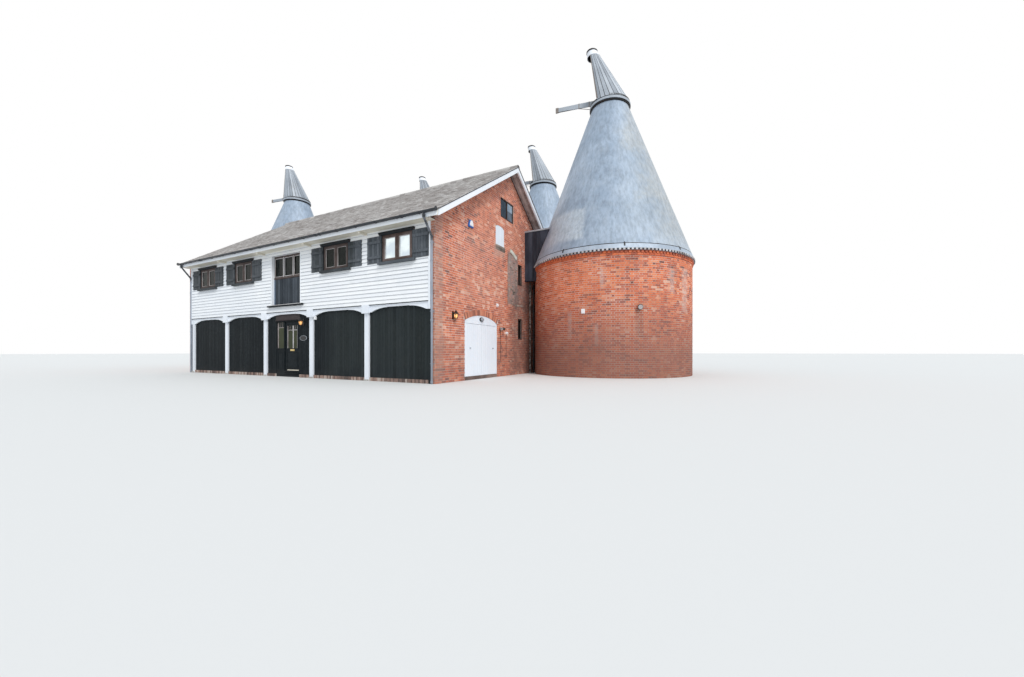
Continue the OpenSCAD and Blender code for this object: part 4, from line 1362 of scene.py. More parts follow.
@dataclass
class Studio:
    """Camera, floor and lights."""

    eye: Point = (14.563, -13.928, 0.976)
    turn: float = 27.25
    lens: float = 13.298
    shift: float = 0.01305
    reach: float = 260.0
    floor_colour: Colour = (0.72, 0.72, 0.71)
    sky: tuple[Colour, float] = ((0.87, 0.935, 1.0), 0.84)
    backdrop: tuple[Colour, float] = ((1.0, 1.0, 1.0), 1.0)
    sun: tuple[Colour, float] = ((1.0, 0.985, 0.96), 1.85)
    sun_width: float = 16.0
    sun_turn: Span = (46.0, 56.0)

    def camera(self) -> None:
        """Stands the camera where the photograph was taken from."""
        bpy.context.scene.view_settings.view_transform = "Standard"
        data = bpy.data.cameras.new("view")
        data.sensor_fit = "HORIZONTAL"
        data.sensor_width = 36.0
        data.lens = self.lens
        data.shift_y = self.shift
        data.clip_end = 400.0
        eye = stand("view", data)
        eye.location = self.eye
        eye.rotation_euler = (math.radians(90.0), 0.0, math.radians(self.turn))
        bpy.context.scene.camera = eye

    def floor(self) -> None:
        """Lays the pale studio floor."""
        data = bpy.data.meshes.new("studio_floor")
        far = self.reach
        data.from_pydata([(-far, -far, 0), (far, -far, 0), (far, far, 0), (-far, far, 0)], [], [(0, 1, 2, 3)])
        coat = Coat("studio_floor")
        coat.set({"Base Color": self.floor_colour, "Roughness": 0.95, "Specular IOR Level": 0.1})
        data.materials.append(coat.made)
        floor = stand("studio_floor", data)
        floor.location.z = -0.002

    def light(self) -> None:
        """Hangs a soft sky and one soft high lamp."""
        world = bpy.data.worlds.new("studio")
        bpy.context.scene.world = world
        world.use_nodes = True
        graph = Graph(world.node_tree)
        graph.tree.nodes.clear()
        path = graph.add("LightPath").outputs
        seen = graph.math("MAXIMUM", path["Is Camera Ray"], path["Is Glossy Ray"])
        seen = graph.math("MAXIMUM", seen, path["Is Transmission Ray"])
        sky, back = (
            graph.add("Background", {"Color": colour, "Strength": strength}).outputs[0]
            for colour, strength in (self.sky, self.backdrop)
        )
        both = graph.add("MixShader", {0: seen, 1: sky, 2: back})
        graph.add("OutputWorld", {0: both.outputs[0]})
        data = bpy.data.lights.new("sun", "SUN")
        data.color, data.energy = self.sun
        data.angle = math.radians(self.sun_width)
        lean, turn = self.sun_turn
        stand("sun", data).rotation_euler = (math.radians(lean), 0.0, math.radians(turn))

    def build(self) -> None:
        """Sets the whole studio."""
        self.camera()
        self.floor()
        self.light()


# Brick parts


@dataclass
class Gable:
    """The right gable: brickwork, arch ring and its openings, along it from the front corner."""

    gate: Span = (1.58, 3.80)
    spring: float = 2.06
    rise: float = 0.23
    ring: float = 0.205
    ring_side: float = 0.06
    brick_w: float = 0.075
    joint: float = 0.009
    height: float = 8.4
    hatch: Hole = Hole(3.70, 4.40, 5.19, 5.99, 0.7256)
    loft: Hole = Hole(4.10, 5.23, 6.38, 7.18)
    slits: tuple[Hole, ...] = (Hole(5.68, 5.98, 3.92, 4.74), Hole(5.68, 5.98, 1.56, 2.38))

    @property
    def radius(self) -> float:
        """Radius of the arch over the doors."""
        width = self.gate[1] - self.gate[0]
        return (width ** 2 / 4 + self.rise ** 2) / (2 * self.rise)

    @property
    def middle(self) -> Span:
        """Centre of the arch's circle."""
        return sum(self.gate) / 2, self.spring + self.rise - self.radius

    def bricks(self) -> None:
        """Lays the right gable's bricks round its openings."""
        (start, end), side = self.gate, self.ring_side
        over = Hole(start - side, end + side, self.spring, self.spring + self.rise + self.ring,
                    self.radius + self.ring)
        under = Hole(start, end, 0.0, self.spring)
        Brickwork("gable_bricks", GABLE_FACE, 2 * BARN.rear, self.height, seed=11,
                  holes=(under, over, self.hatch, self.loft, *self.slits),
                  ceiling=lambda u: BARN.under(u + BARN.front)).build()

    def arch(self) -> None:
        """Sets the ring of bricks on edge over the doors."""
        inner, outer = self.radius + 0.002, self.radius + self.ring - 0.004
        reach = math.asin((self.gate[1] - self.middle[0] + self.ring_side) / outer)
        number = int(2 * reach * inner / self.brick_w)
        step = 2 * reach / number
        rng = np.random.default_rng(21)
        edges = -reach + step * np.arange(number)
        gap = self.joint / 2 / inner
        front = -(0.008 + rng.uniform(-0.001, 0.001, number))
        corners = arched(GABLE_FACE, self.middle, (inner, outer), edges + gap, edges + step - gap, front,
                         0.032)
        form = Form("gate_arch_bricks")
        form.blocks(corners, rng.random(number), skip=("back",))
        form.build(ARCH_BRICK, "arch_brick")

    def build(self) -> None:
        """Builds the gable's brickwork."""
        self.bricks()
        self.arch()


@dataclass
class OtherWalls:
    """The left gable, the rear wall and the brick ends at the front corners."""

    height: float = 5.2
    lower_window: Span = (1.0, 2.05)

    def build(self) -> None:
        """Lays the bricks of the walls that the camera doesn't face."""
        Brickwork("left_gable_bricks", Plane((BARN.left, BARN.rear, 0.0), (0.0, -1.0, 0.0)),
                  2 * BARN.rear, Gable().height, seed=31,
                  ceiling=lambda u: BARN.under(BARN.rear - u)).build()
        holes = tuple(
            Hole(BARN.right - WINDOW_W / 2, BARN.right + WINDOW_W / 2, low, high)
            for low, high in (self.lower_window, (WINDOW_FOOT, WINDOW_HEAD))
        )
        Brickwork("rear_bricks", Plane((BARN.right, BARN.rear, 0.0), (-1.0, 0.0, 0.0)),
                  BARN.right - BARN.left, self.height, seed=41, holes=holes).build()
        for name, start, end, seed in (("left_end_bricks", BARN.left, BARN.front_left, 51),
                                       ("right_end_bricks", BARN.front_right, BARN.right, 52)):
            Brickwork(name, Plane((start, BARN.front, 0.0), ALONG), end - start, self.height,
                      seed=seed, bond=Bond.STRETCHER).build()


@dataclass
class KilnWall:
    """One round kiln's brickwork, with its string course and dentils."""

    number: int
    course: float = 0.079
    string_foot: float = 4.53
    dentil_foot: float = 4.61

    def build(self) -> None:
        """Lays the drum's bricks and the courses under the eaves."""
        drum = kiln(self.number)
        Brickwork(f"kiln_{self.number}_bricks", drum, drum.around, self.string_foot,
                  seed=100 + self.number, finish=KILN_BRICK, course=self.course).build()
        rng = np.random.default_rng(200 + self.number)
        form = Form(f"kiln_{self.number}_eaves_bricks")
        for foot, head, size, gap, out in (
            (self.string_foot + 0.004, self.dentil_foot - 0.004, 0.225, 0.010, 0.030),
            (self.dentil_foot, EAVES, 0.150, 0.062, 0.055),
            (self.dentil_foot, EAVES, 0.225, 0.008, 0.012),
        ):
            count = round(drum.around / size)
            start = drum.around / count * np.arange(count)
            strips = level(start, start + drum.around / count - gap, foot, head, rng.random(count))
            form.blocks(laid(strips, drum, out), 0.15 + 0.6 * strips[:, 7], skip=("back",))
        form.build(KILN_BRICK, "brick")


# Roofs


@dataclass
class TiledRoof:
    """Plain clay tiles on both slopes, and the ridge."""

    tile_w: float = 0.168
    gauge: float = 0.105
    foot_out: float = 0.017
    head_out: float = 0.003
    left_lap: float = 0.02
    right_lap: float = 0.08
    ridge_l: float = 0.33
    ridge_r: float = 0.138
    ridge_t: float = 0.014
    link_top: float = 6.4

    @property
    def length(self) -> float:
        """Length of the tiling along the barn."""
        return BARN.verge_right - BARN.verge_left + self.left_lap + self.right_lap

    def stop_y(self) -> float:
        """Gives where the right verge of the rear slope ends, over the first link."""
        hang = 0.03 + 0.27 - 0.15 / math.cos(PITCH)
        return BARN.rear - (self.link_top + hang + 0.02 - BARN.eaves) / BARN.rise

    def slope(self, name: str, side: int, seed: int) -> None:
        """Lays one slope.

        Args:
            name: Name of the piece.
            side: -1 for the front slope, 1 for the rear one.
            seed: Seed of its random draws.
        """
        top = BARN.ridge - BARN.rise * BARN.edge
        start = BARN.verge_left - self.left_lap if side < 0 else BARN.verge_right + self.right_lap
        face = Plane((start, side * BARN.edge, top), (-side, 0.0, 0.0),
                     (0.0, -side * math.cos(PITCH), math.sin(PITCH)))
        up = BARN.edge / math.cos(PITCH)
        rng = np.random.default_rng(seed)
        rows = []
        count = int(self.length / self.tile_w) + 2
        for k in range(-1, int(up / self.gauge)):
            low = self.tile_w * (np.arange(count) - 0.5 * (k % 2)) + rng.normal(0, 0.0015, count)
            high = np.clip(low + self.tile_w - 0.004, 0, self.length)
            foot = k * self.gauge + 0.06 + rng.normal(0, 0.0025, count)
            rows.append(level(np.clip(low, 0, self.length), high, foot, (k + 1) * self.gauge + 0.075,
                              rng.random(count)))
        holes = ()
        if side > 0:
            up_to = (BARN.edge - self.stop_y()) / math.cos(PITCH)
            holes = (Hole(-0.1, BARN.verge_right - BARN.right + self.right_lap, -1.0, up_to),)
        strips = cut(np.vstack(rows), holes)
        strips[:, 4:6] = np.minimum(strips[:, 4:6], up)
        strips = strips[strips[:, 4] - strips[:, 2] > 0.02]
        lift = np.random.default_rng(seed + 1).normal(0, 0.0018, len(strips))
        blocks = laid(strips, face, self.foot_out + lift, self.head_out, self.gauge, back=0.002)
        form = Form(name)
        form.blocks(blocks, 0.24 + 0.76 * strips[:, 7], skip=("back", "head"))
        form.build(TILE, "clay_tile")

    def ridge(self) -> None:
        """Beds the half-round ridge tiles."""
        count = int(self.length / self.ridge_l)
        step = self.length / count
        angle = np.linspace(-0.12, math.pi + 0.12, 11)
        rng = np.random.default_rng(77)
        form = Form("ridge_tiles_laid")
        for k in range(count):
            start = BARN.verge_left - self.left_lap + k * step
            low = BARN.ridge - 0.062 + rng.normal(0, 0.003)
            rings = [
                [(x, r * math.cos(a), low + r * math.sin(a))
                 for r, way in ((radius, angle), (radius - self.ridge_t, angle[::-1])) for a in way]
                for x, radius in ((start, self.ridge_r), (start + step - 0.012, self.ridge_r - 0.004))
            ]
            form.loft(np.array(rings), rng.random())
        form.build(RIDGE, "clay_tile")

    def build(self) -> None:
        """Builds both slopes and the ridge."""
        self.slope("front_tiles", -1, 61)
        self.slope("rear_tiles", 1, 62)
        self.ridge()


# Timber front


@dataclass
class TimberFront:
    """Weatherboards above, black boards between the posts below."""

    exposure: float = 0.1306
    lap: float = 0.018
    joints: int = 3
    board_w: float = 0.118
    board_out: float = 0.012
    corner_w: float = 0.078
    split: float = 2.29

    def weatherboards(self) -> None:
        """Laps the white boards round the windows and the loading bay."""
        face = Plane((BARN.front_left, BARN.front, 0.0), ALONG)
        length = BARN.front_right - BARN.front_left
        top = BARN.under(BARN.front)
        rng = np.random.default_rng(71)
        rows = []
        for k in range(int((top - BOARDING_FOOT) / self.exposure) + 1):
            foot = BOARDING_FOOT + k * self.exposure
            joints = np.sort(rng.uniform(0.6, length - 0.6, self.joints))
            ends = np.concatenate([[0.0], joints, [length]])
            head = min(foot + self.exposure + self.lap, top - 0.001)
            rows.append(level(ends[:-1] + 0.0015, ends[1:] - 0.0015, foot, head, rng.random(self.joints + 1)))
        holes = [
            Hole(x - BARN.front_left - width / 2, x - BARN.front_left + width / 2, foot, WINDOW_HEAD)
            for x, width, foot in (*((x, WINDOW_W, WINDOW_FOOT) for x in WINDOWS),
                                   (LOADING, LOADING_W, LOADING_FOOT))
        ]
        strips = cut(np.vstack(rows), holes)
        form = Form("front_weatherboards")
        # Each board's underside takes tone 0, the darkest stop: painted shade under the lap.
        form.blocks(laid(strips, face, 0.030, 0.005, self.exposure), 0.35 + 0.6 * strips[:, 7],
                    skip=("back",), foot=0.0)
        form.build(WEATHERBOARD, "weatherboard")

    def black_boards(self) -> None:
        """Fills the bays with upright black boards."""
        low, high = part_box("front_boarding")
        form = Form("bay_boards")
        rng = np.random.default_rng(81)
        for span in bay_spans():
            form.boards(front_plane(low.y), span, (low.z + 0.004, high.z - 0.004), self.board_w,
                        self.board_out, rng, 0.006)
        form.build(BLACK_BOARD, "black_boards", 0.002)

    def corners(self) -> None:
        """Covers the ends of both boardings beside the brick, and sets the drip between them, black as a
        painted shadow line.
        """
        top = BARN.under(BARN.front) - 0.002
        left, right = BARN.front_left, BARN.front_right
        white, black = Form("corner_boards"), Form("corner_posts")
        for a, b in ((right - 0.004, right + self.corner_w), (left - self.corner_w, left + 0.004)):
            white.on(FRONT_FACE, (a, -0.034, self.split), (b, -0.001, top), 0.6)
            black.on(FRONT_FACE, (a, -0.012, 0.005), (b, -0.001, self.split - 0.002), 0.5)
        # The drip along the foot of the weatherboards is black: a painted shadow line under them.
        foot = BOARDING_FOOT
        black.on(FRONT_FACE, (left, -0.036, foot - 0.024), (right, -0.003, foot + 0.002), 0.3)
        white.build(WHITE_PAINT, "weatherboard", 0.004)
        black.build(BLACK_BOARD, "black_boards", 0.002)

    def build(self) -> None:
        """Builds the front's boarding."""
        self.weatherboards()
        self.black_boards()
        self.corners()


# Windows


@dataclass(frozen=True)
class Window:
    """One window frame of the model: its face, its outline and its lights."""

    face: Plane
    middle: float
    width: float = WINDOW_W
    foot: float = WINDOW_FOOT
    height: float = WINDOW_H
    lights: int = 2
    member: float = 0.055

    def spans(self) -> list[Span]:
        """Gives the lights.

        Returns:
            Both ends of each along the face.
        """
        each = (self.width - (self.lights + 1) * self.member) / self.lights
        first = self.middle - self.width / 2 + self.member
        starts = [first + i * (each + self.member) for i in range(self.lights)]
        return [(start, start + each) for start in starts]


@dataclass
class Windows:
    """Casements in every frame, with their glazing beads, jambs, sills and drips."""

    stile: float = 0.062
    bead: float = 0.016
    drip_out: float = 0.098
    drip_side: float = 0.10
    sill_out: float = 0.116
    sill_side: float = 0.130
    hood_half: float = 0.75
    lower: Span = (1.0, 1.05)
    rear_middle: float = 0.0
    pale_from: float = 5.0

    def casements(self, form: Form, beads: Form, window: Window, out: float = 0.021) -> None:
        """Hangs a casement in each light.

        Args:
            form: Form that takes them.
            beads: Form that takes their glazing beads.
            window: The window's frame.
            out: How far the casements stand out of the wall.
        """
        low, high = window.foot + window.member, window.foot + window.height - window.member
        lap, edge = 0.006, self.stile - 0.010
        for a, b in window.spans():
            form.bars(window.face, (a - lap, b + lap), (low - lap, high + lap), self.stile, out, 0.029, 0.6)
            beads.bars(window.face, (a + edge, b - edge), (low + edge, high - edge), self.bead, out - 0.006,
                       0.012, 0.7)

    def surround(self, form: Form, sills: Form, window: Window) -> None:
        """Sets the drip over a window, its sill and the bar on the sill.

        Args:
            form: Form that takes the drip and the bar.
            sills: Form that takes the sill.
            window: The window's frame.
        """
        left, right = window.middle - window.width / 2, window.middle + window.width / 2
        top, foot, face = window.foot + window.height, window.foot, window.face
        form.on(face, (left - self.drip_side, -self.drip_out, top + 0.066),
                (right + self.drip_side, 0.0, top + 0.078), 0.1)
        form.on(face, (left, -0.034, foot - 0.004), (right, 0.022, foot + 0.012), 0.8)
        tone = 0.7 if window.middle > self.pale_from else 0.15
        sills.on(face, (left - self.sill_side, -self.sill_out, foot - 0.076),
                 (right + self.sill_side, -0.002, foot + 0.003), tone)

    def loft(self, form: Form) -> None:
        """Trims the loft window and the two slits, the slits' reveals and surrounds in painted shade, and
        sets panes that throw back the sky, their tints a painted reflection.

        Args:
            form: Form that takes the trims.
        """
        gable = Gable()
        hole = gable.loft
        low, high = hole.w0, hole.w1
        window = Window(GABLE_FACE, (hole.u0 + hole.u1) / 2, hole.u1 - hole.u0, low, high - low)
        for (a, b), side in zip(window.spans(), LOFT_PANES):
            form.bars(GABLE_FACE, (a - 0.012, b + 0.012), (low + 0.043, high - 0.043), 0.010, -0.006,
                      0.046, 0.1)
            pane = Form(f"loft_pane_{side}")
            pane.on(GABLE_FACE, (a - 0.004, 0.030, low + 0.051), (b + 0.004, 0.035, high - 0.051))
            pane.build(LOFT_PANES[side], "glass")
        for slit in gable.slits[::-1]:
            # Each slit gets dark linings on its reveals and a wide dark surround on the wall: painted shade
            # of the deep opening, which also makes it look wider.
            for lap, width, out, back in ((-0.004, 0.014, -0.012, 0.106), (0.04, 0.046, 0.010, 0.002)):
                form.bars(GABLE_FACE, (slit.u0 - lap, slit.u1 + lap), (slit.w0 - lap, slit.w1 + lap),
                          width, out, back, 0.0)
        # Mirror panes: each tint paints the reflection, blue in the upper slit, dark in the lower one, pale
        # sky at the top of the loft window.
        for name, low, high, finish in (
            ("slit_pane_upper", (5.70, 0.060, 3.95), (5.84, 0.066, 4.71), SLIT_PANE),
            ("slit_pane_lower", (5.70, 0.060, 1.59), (5.96, 0.066, 2.35), HEAD_PANE),
            ("loft_pane_sky", (4.70, 0.024, 6.80), (5.16, 0.029, 7.12), SKY_PANE),
        ):
            Form(name).on(GABLE_FACE, low, high).build(finish, "glass")

    def heads(self) -> None:
        """Sets the black heads and jambs round the front windows."""
        hoods = Form("window_heads")
        half, jamb, high = self.hood_half, WINDOW_W / 2, WINDOW_HEAD
        for x in WINDOWS:
            hoods.on(FRONT_FACE, (x - half, -0.108, high + 0.038), (x + half, -0.002, high + 0.082), 0.4)
            hoods.on(FRONT_FACE, (x - half + 0.015, -0.092, high - 0.005),
                     (x + half - 0.015, -0.002, high + 0.032), 0.9)
            for a, b in ((x - jamb - 0.019, x - jamb + 0.003), (x + jamb - 0.003, x + jamb + 0.019)):
                hoods.on(FRONT_FACE, (a, -0.036, WINDOW_FOOT + 0.004), (b, 0.0, high - 0.004), 0.3)
        hoods.build(BLACK_BOARD, "black_boards", 0.004)

    def build(self) -> None:
        """Builds the casements of the front, the rear and the loft."""
        form, beads, sills = Form("window_casements"), Form("glazing_beads"), Form("window_sills")
        front = [Window(FRONT_FACE, x) for x in WINDOWS]
        foot, height = self.lower
        rear = [Window(REAR_FACE, self.rear_middle),
                Window(REAR_FACE, self.rear_middle, foot=foot, height=height)]
        for window in front + rear:
            self.casements(form, beads, window)
            self.surround(form, sills, window)
        self.loft(form)
        form.build(BROWN_WOOD, "brown_timber", 0.003)
        beads.build(BEAD, "brown_timber", 0.002)
        sills.build(SHUTTER, "brown_timber", 0.004)
        # Pale mirror panes in the last front window: a painted reflection of the sky.
        panes = Form("sky_panes")
        for a, b in front[-1].spans():
            panes.on(FRONT_FACE, (a + 0.050, 0.0095, WINDOW_FOOT + 0.105),
                     (b - 0.050, 0.0135, WINDOW_HEAD - 0.105))
        panes.build(SKY_PANE, "glass")
        self.heads()


@dataclass
class Shutters:
    """Boarded shutters beside the upper windows, each with two battens."""

    width: float = 0.65
    gap: float = 0.015
    foot: float = 3.905
    height: float = 0.88
    leaf_t: float = 0.035
    board: float = 0.108
    battens: Span = (0.22, 0.78)
    batten_w: float = 0.090

    def leaf(self, form: Form, iron: Form, start: float, rng: Random) -> None:
        """Makes one shutter.

        Args:
            form: Form that takes its boards.
            iron: Form that takes its fixings.
            start: Its left end along the front.
            rng: Source of its small differences.
        """
        face = front_plane(BARN.front - self.leaf_t)
        end, half = start + self.width, self.batten_w / 2
        form.boards(face, (start, end), (self.foot, self.foot + self.height), self.board, 0.011, rng, 0.011)
        for share in self.battens:
            w = self.foot + share * self.height
            form.on(face, (start + 0.02, -0.036, w - half), (end - 0.02, -0.008, w + half),
                    rng.uniform(0.5, 1.0))
            for u in np.arange(start + 0.055, end - 0.03, self.board):
                for lift in (-0.022, 0.022):
                    iron.turned(((0.007, 0.0), (0.007, 0.003), (0.003, 0.0045)),
                                face.spot(u, -0.0355, w + lift), 8, (0.0, -1.0, 0.0))

    def build(self) -> None:
        """Builds all eight shutters."""
        rng = np.random.default_rng(91)
        form, iron = Form("shutter_boards"), Form("shutter_nails")
        half = WINDOW_W / 2 + self.gap
        for x in WINDOWS:
            for start in (x - half - self.width, x + half):
                self.leaf(form, iron, start, rng)
        form.build(SHUTTER, "black_boards", 0.003)
        iron.build(IRON, "black_paint")


@dataclass
class LoadingBay:
    """The unit over the entry, set back in the wall: three lights above a boarded hatch."""

    deep: float = 0.10
    fit: float = 0.002
    stile: float = 0.024
    bead: float = 0.026
    board: float = 0.158
    ledge_side: float = 0.157
    ledge_out: float = 0.108

    def lights(self, face: Plane, a: float, b: float) -> None:
        """Builds the three casements with their rails and their beads.

        Args:
            face: The unit's own face.
            a: Left end of the unit.
            b: Its right end.
        """
        seam, head = WINDOW_FOOT, WINDOW_HEAD
        window = Window(face, LOADING, LOADING_W, lights=3)
        form, beads = Form("loading_casements"), Form("loading_beads")
        Windows(self.stile, self.bead).casements(form, beads, window, 0.006)
        # The middle strip is dark and set back under the rail over the seam: a painted shadow line.
        for low, high, out, tone in ((seam - 0.012, seam + 0.045, 0.030, 0.75),
                                     (seam - 0.036, seam - 0.013, 0.012, 0.0),
                                     (head - 0.05, head - 0.002, 0.016, 0.5)):
            form.on(face, (a, -out, low), (b, 0.004, high), tone)
        form.build(BROWN_WOOD, "brown_timber", 0.003)
        for _, end in window.spans()[:2]:
            beads.on(face, (end + 0.012, -0.012, seam + 0.05), (end + 0.043, 0.002, head - 0.05), 1.0)
        beads.build(BEAD, "brown_timber", 0.002)

    def build(self) -> None:
        """Builds the casements, the boards, the rails, the lining and the ledge."""
        rng = np.random.default_rng(95)
        a, b = LOADING - LOADING_W / 2 + self.fit, LOADING + LOADING_W / 2 - self.fit
        face = front_plane(BARN.front + self.deep)
        low, high = LOADING_FOOT + 0.022, WINDOW_FOOT - 0.037
        self.lights(face, a, b)
        boards = Form("loading_boards")
        boards.boards(face, (a + 0.110, b - 0.04), (low, high), self.board, 0.022, rng, 0.018)
        boards.build(HATCH_BOARD, "black_paint", 0.003)
        # A blue-grey stile at the left edge of the hatch.
        post = Form("loading_post").on(face, (a + 0.040, -0.026, low), (a + 0.104, 0.0, high), 0.6)
        post.build(BLUE_GREY_STILE, "black_paint", 0.003)
        lining = Form("loading_lining")
        for start, end in ((a, a + 0.040), (b - 0.040, b)):
            lining.on(FRONT_FACE, (start, -0.030, LOADING_FOOT + 0.024),
                      (end, self.deep - 0.006, WINDOW_HEAD), 0.9)
        lining.build(WHITE_PAINT, "white_timber", 0.002)
        side, out, foot = self.ledge_side, self.ledge_out, LOADING_FOOT
        ledge = Form("loading_ledge")
        ledge.on(FRONT_FACE, (a - side, -out, foot - 0.044), (b + side, -0.002, foot + 0.016), 0.2)
        ledge.build(BLACK_BOARD, "black_paint", 0.005)
        side, out = side - 0.007, out + 0.003
        top = Form("loading_ledge_lead")
        top.on(FRONT_FACE, (a - side, -out, foot + 0.006), (b + side, -0.036, foot + 0.026), 0.9)
        top.build(BEAD, "lead", 0.002)


# Lamps and plates


@dataclass(frozen=True)
class Lantern:
    """A six-sided wall lantern on a bracket."""

    name: str
    face: Plane
    u: float
    w: float
    out: float = 0.12
    height: float = 0.17
    sides: int = 6
    foot_r: float = 0.052
    head_r: float = 0.083
    bar_r: float = 0.009

    def build(self) -> None:
        """Builds the bracket, the cage and the lit glass."""
        iron, glass = Form(self.name + "_iron"), Form(self.name + "_glass")
        face, u, w = self.face, self.u, self.w
        iron.on(face, (u - 0.04, -0.014, w - 0.10), (u + 0.04, 0.003, w + 0.16))
        places = ((-0.01, -0.06), (-0.07, -0.13), (-self.out, -0.15), (-self.out, -self.height / 2))
        iron.tube([face.spot(u, d, w + dw) for d, dw in places], self.bar_r, 8)
        centre = face.spot(u, -self.out, 0.0)
        top = w + self.height / 2
        low = top - self.height
        pan = ((0.045, low - 0.012), (0.055, low), (0.055, low + 0.01))
        cap = [(r, top + z) for r, z in (
            (0.085, -0.008), (0.09, 0.0), (0.098, 0.004), (0.05, 0.045), (0.03, 0.05), (0.03, 0.075),
            (0.034, 0.08), (0.008, 0.10), (0.012, 0.115), (0.001, 0.13))]
        for profile in (pan, cap):
            iron.turned(profile, centre, self.sides)
        for angle in circle(self.sides):
            way = np.array([math.cos(angle), math.sin(angle), 0.0])
            foot = centre + self.foot_r * way + (0.0, 0.0, low)
            head = centre + self.head_r * way + (0.0, 0.0, top - 0.005)
            iron.tube([foot, (foot + head) / 2, head], self.bar_r, 4)
        for z in (low + 0.035, low + 0.11):
            iron.turned(((0.066, z), (0.072, z + 0.008), (0.066, z + 0.016)), centre, self.sides)
        glass.turned(((0.044, low + 0.02), (0.062, top - 0.03)), centre, self.sides)
        iron.build(IRON, "black_paint")
        glass.build(LAMP, "glass")


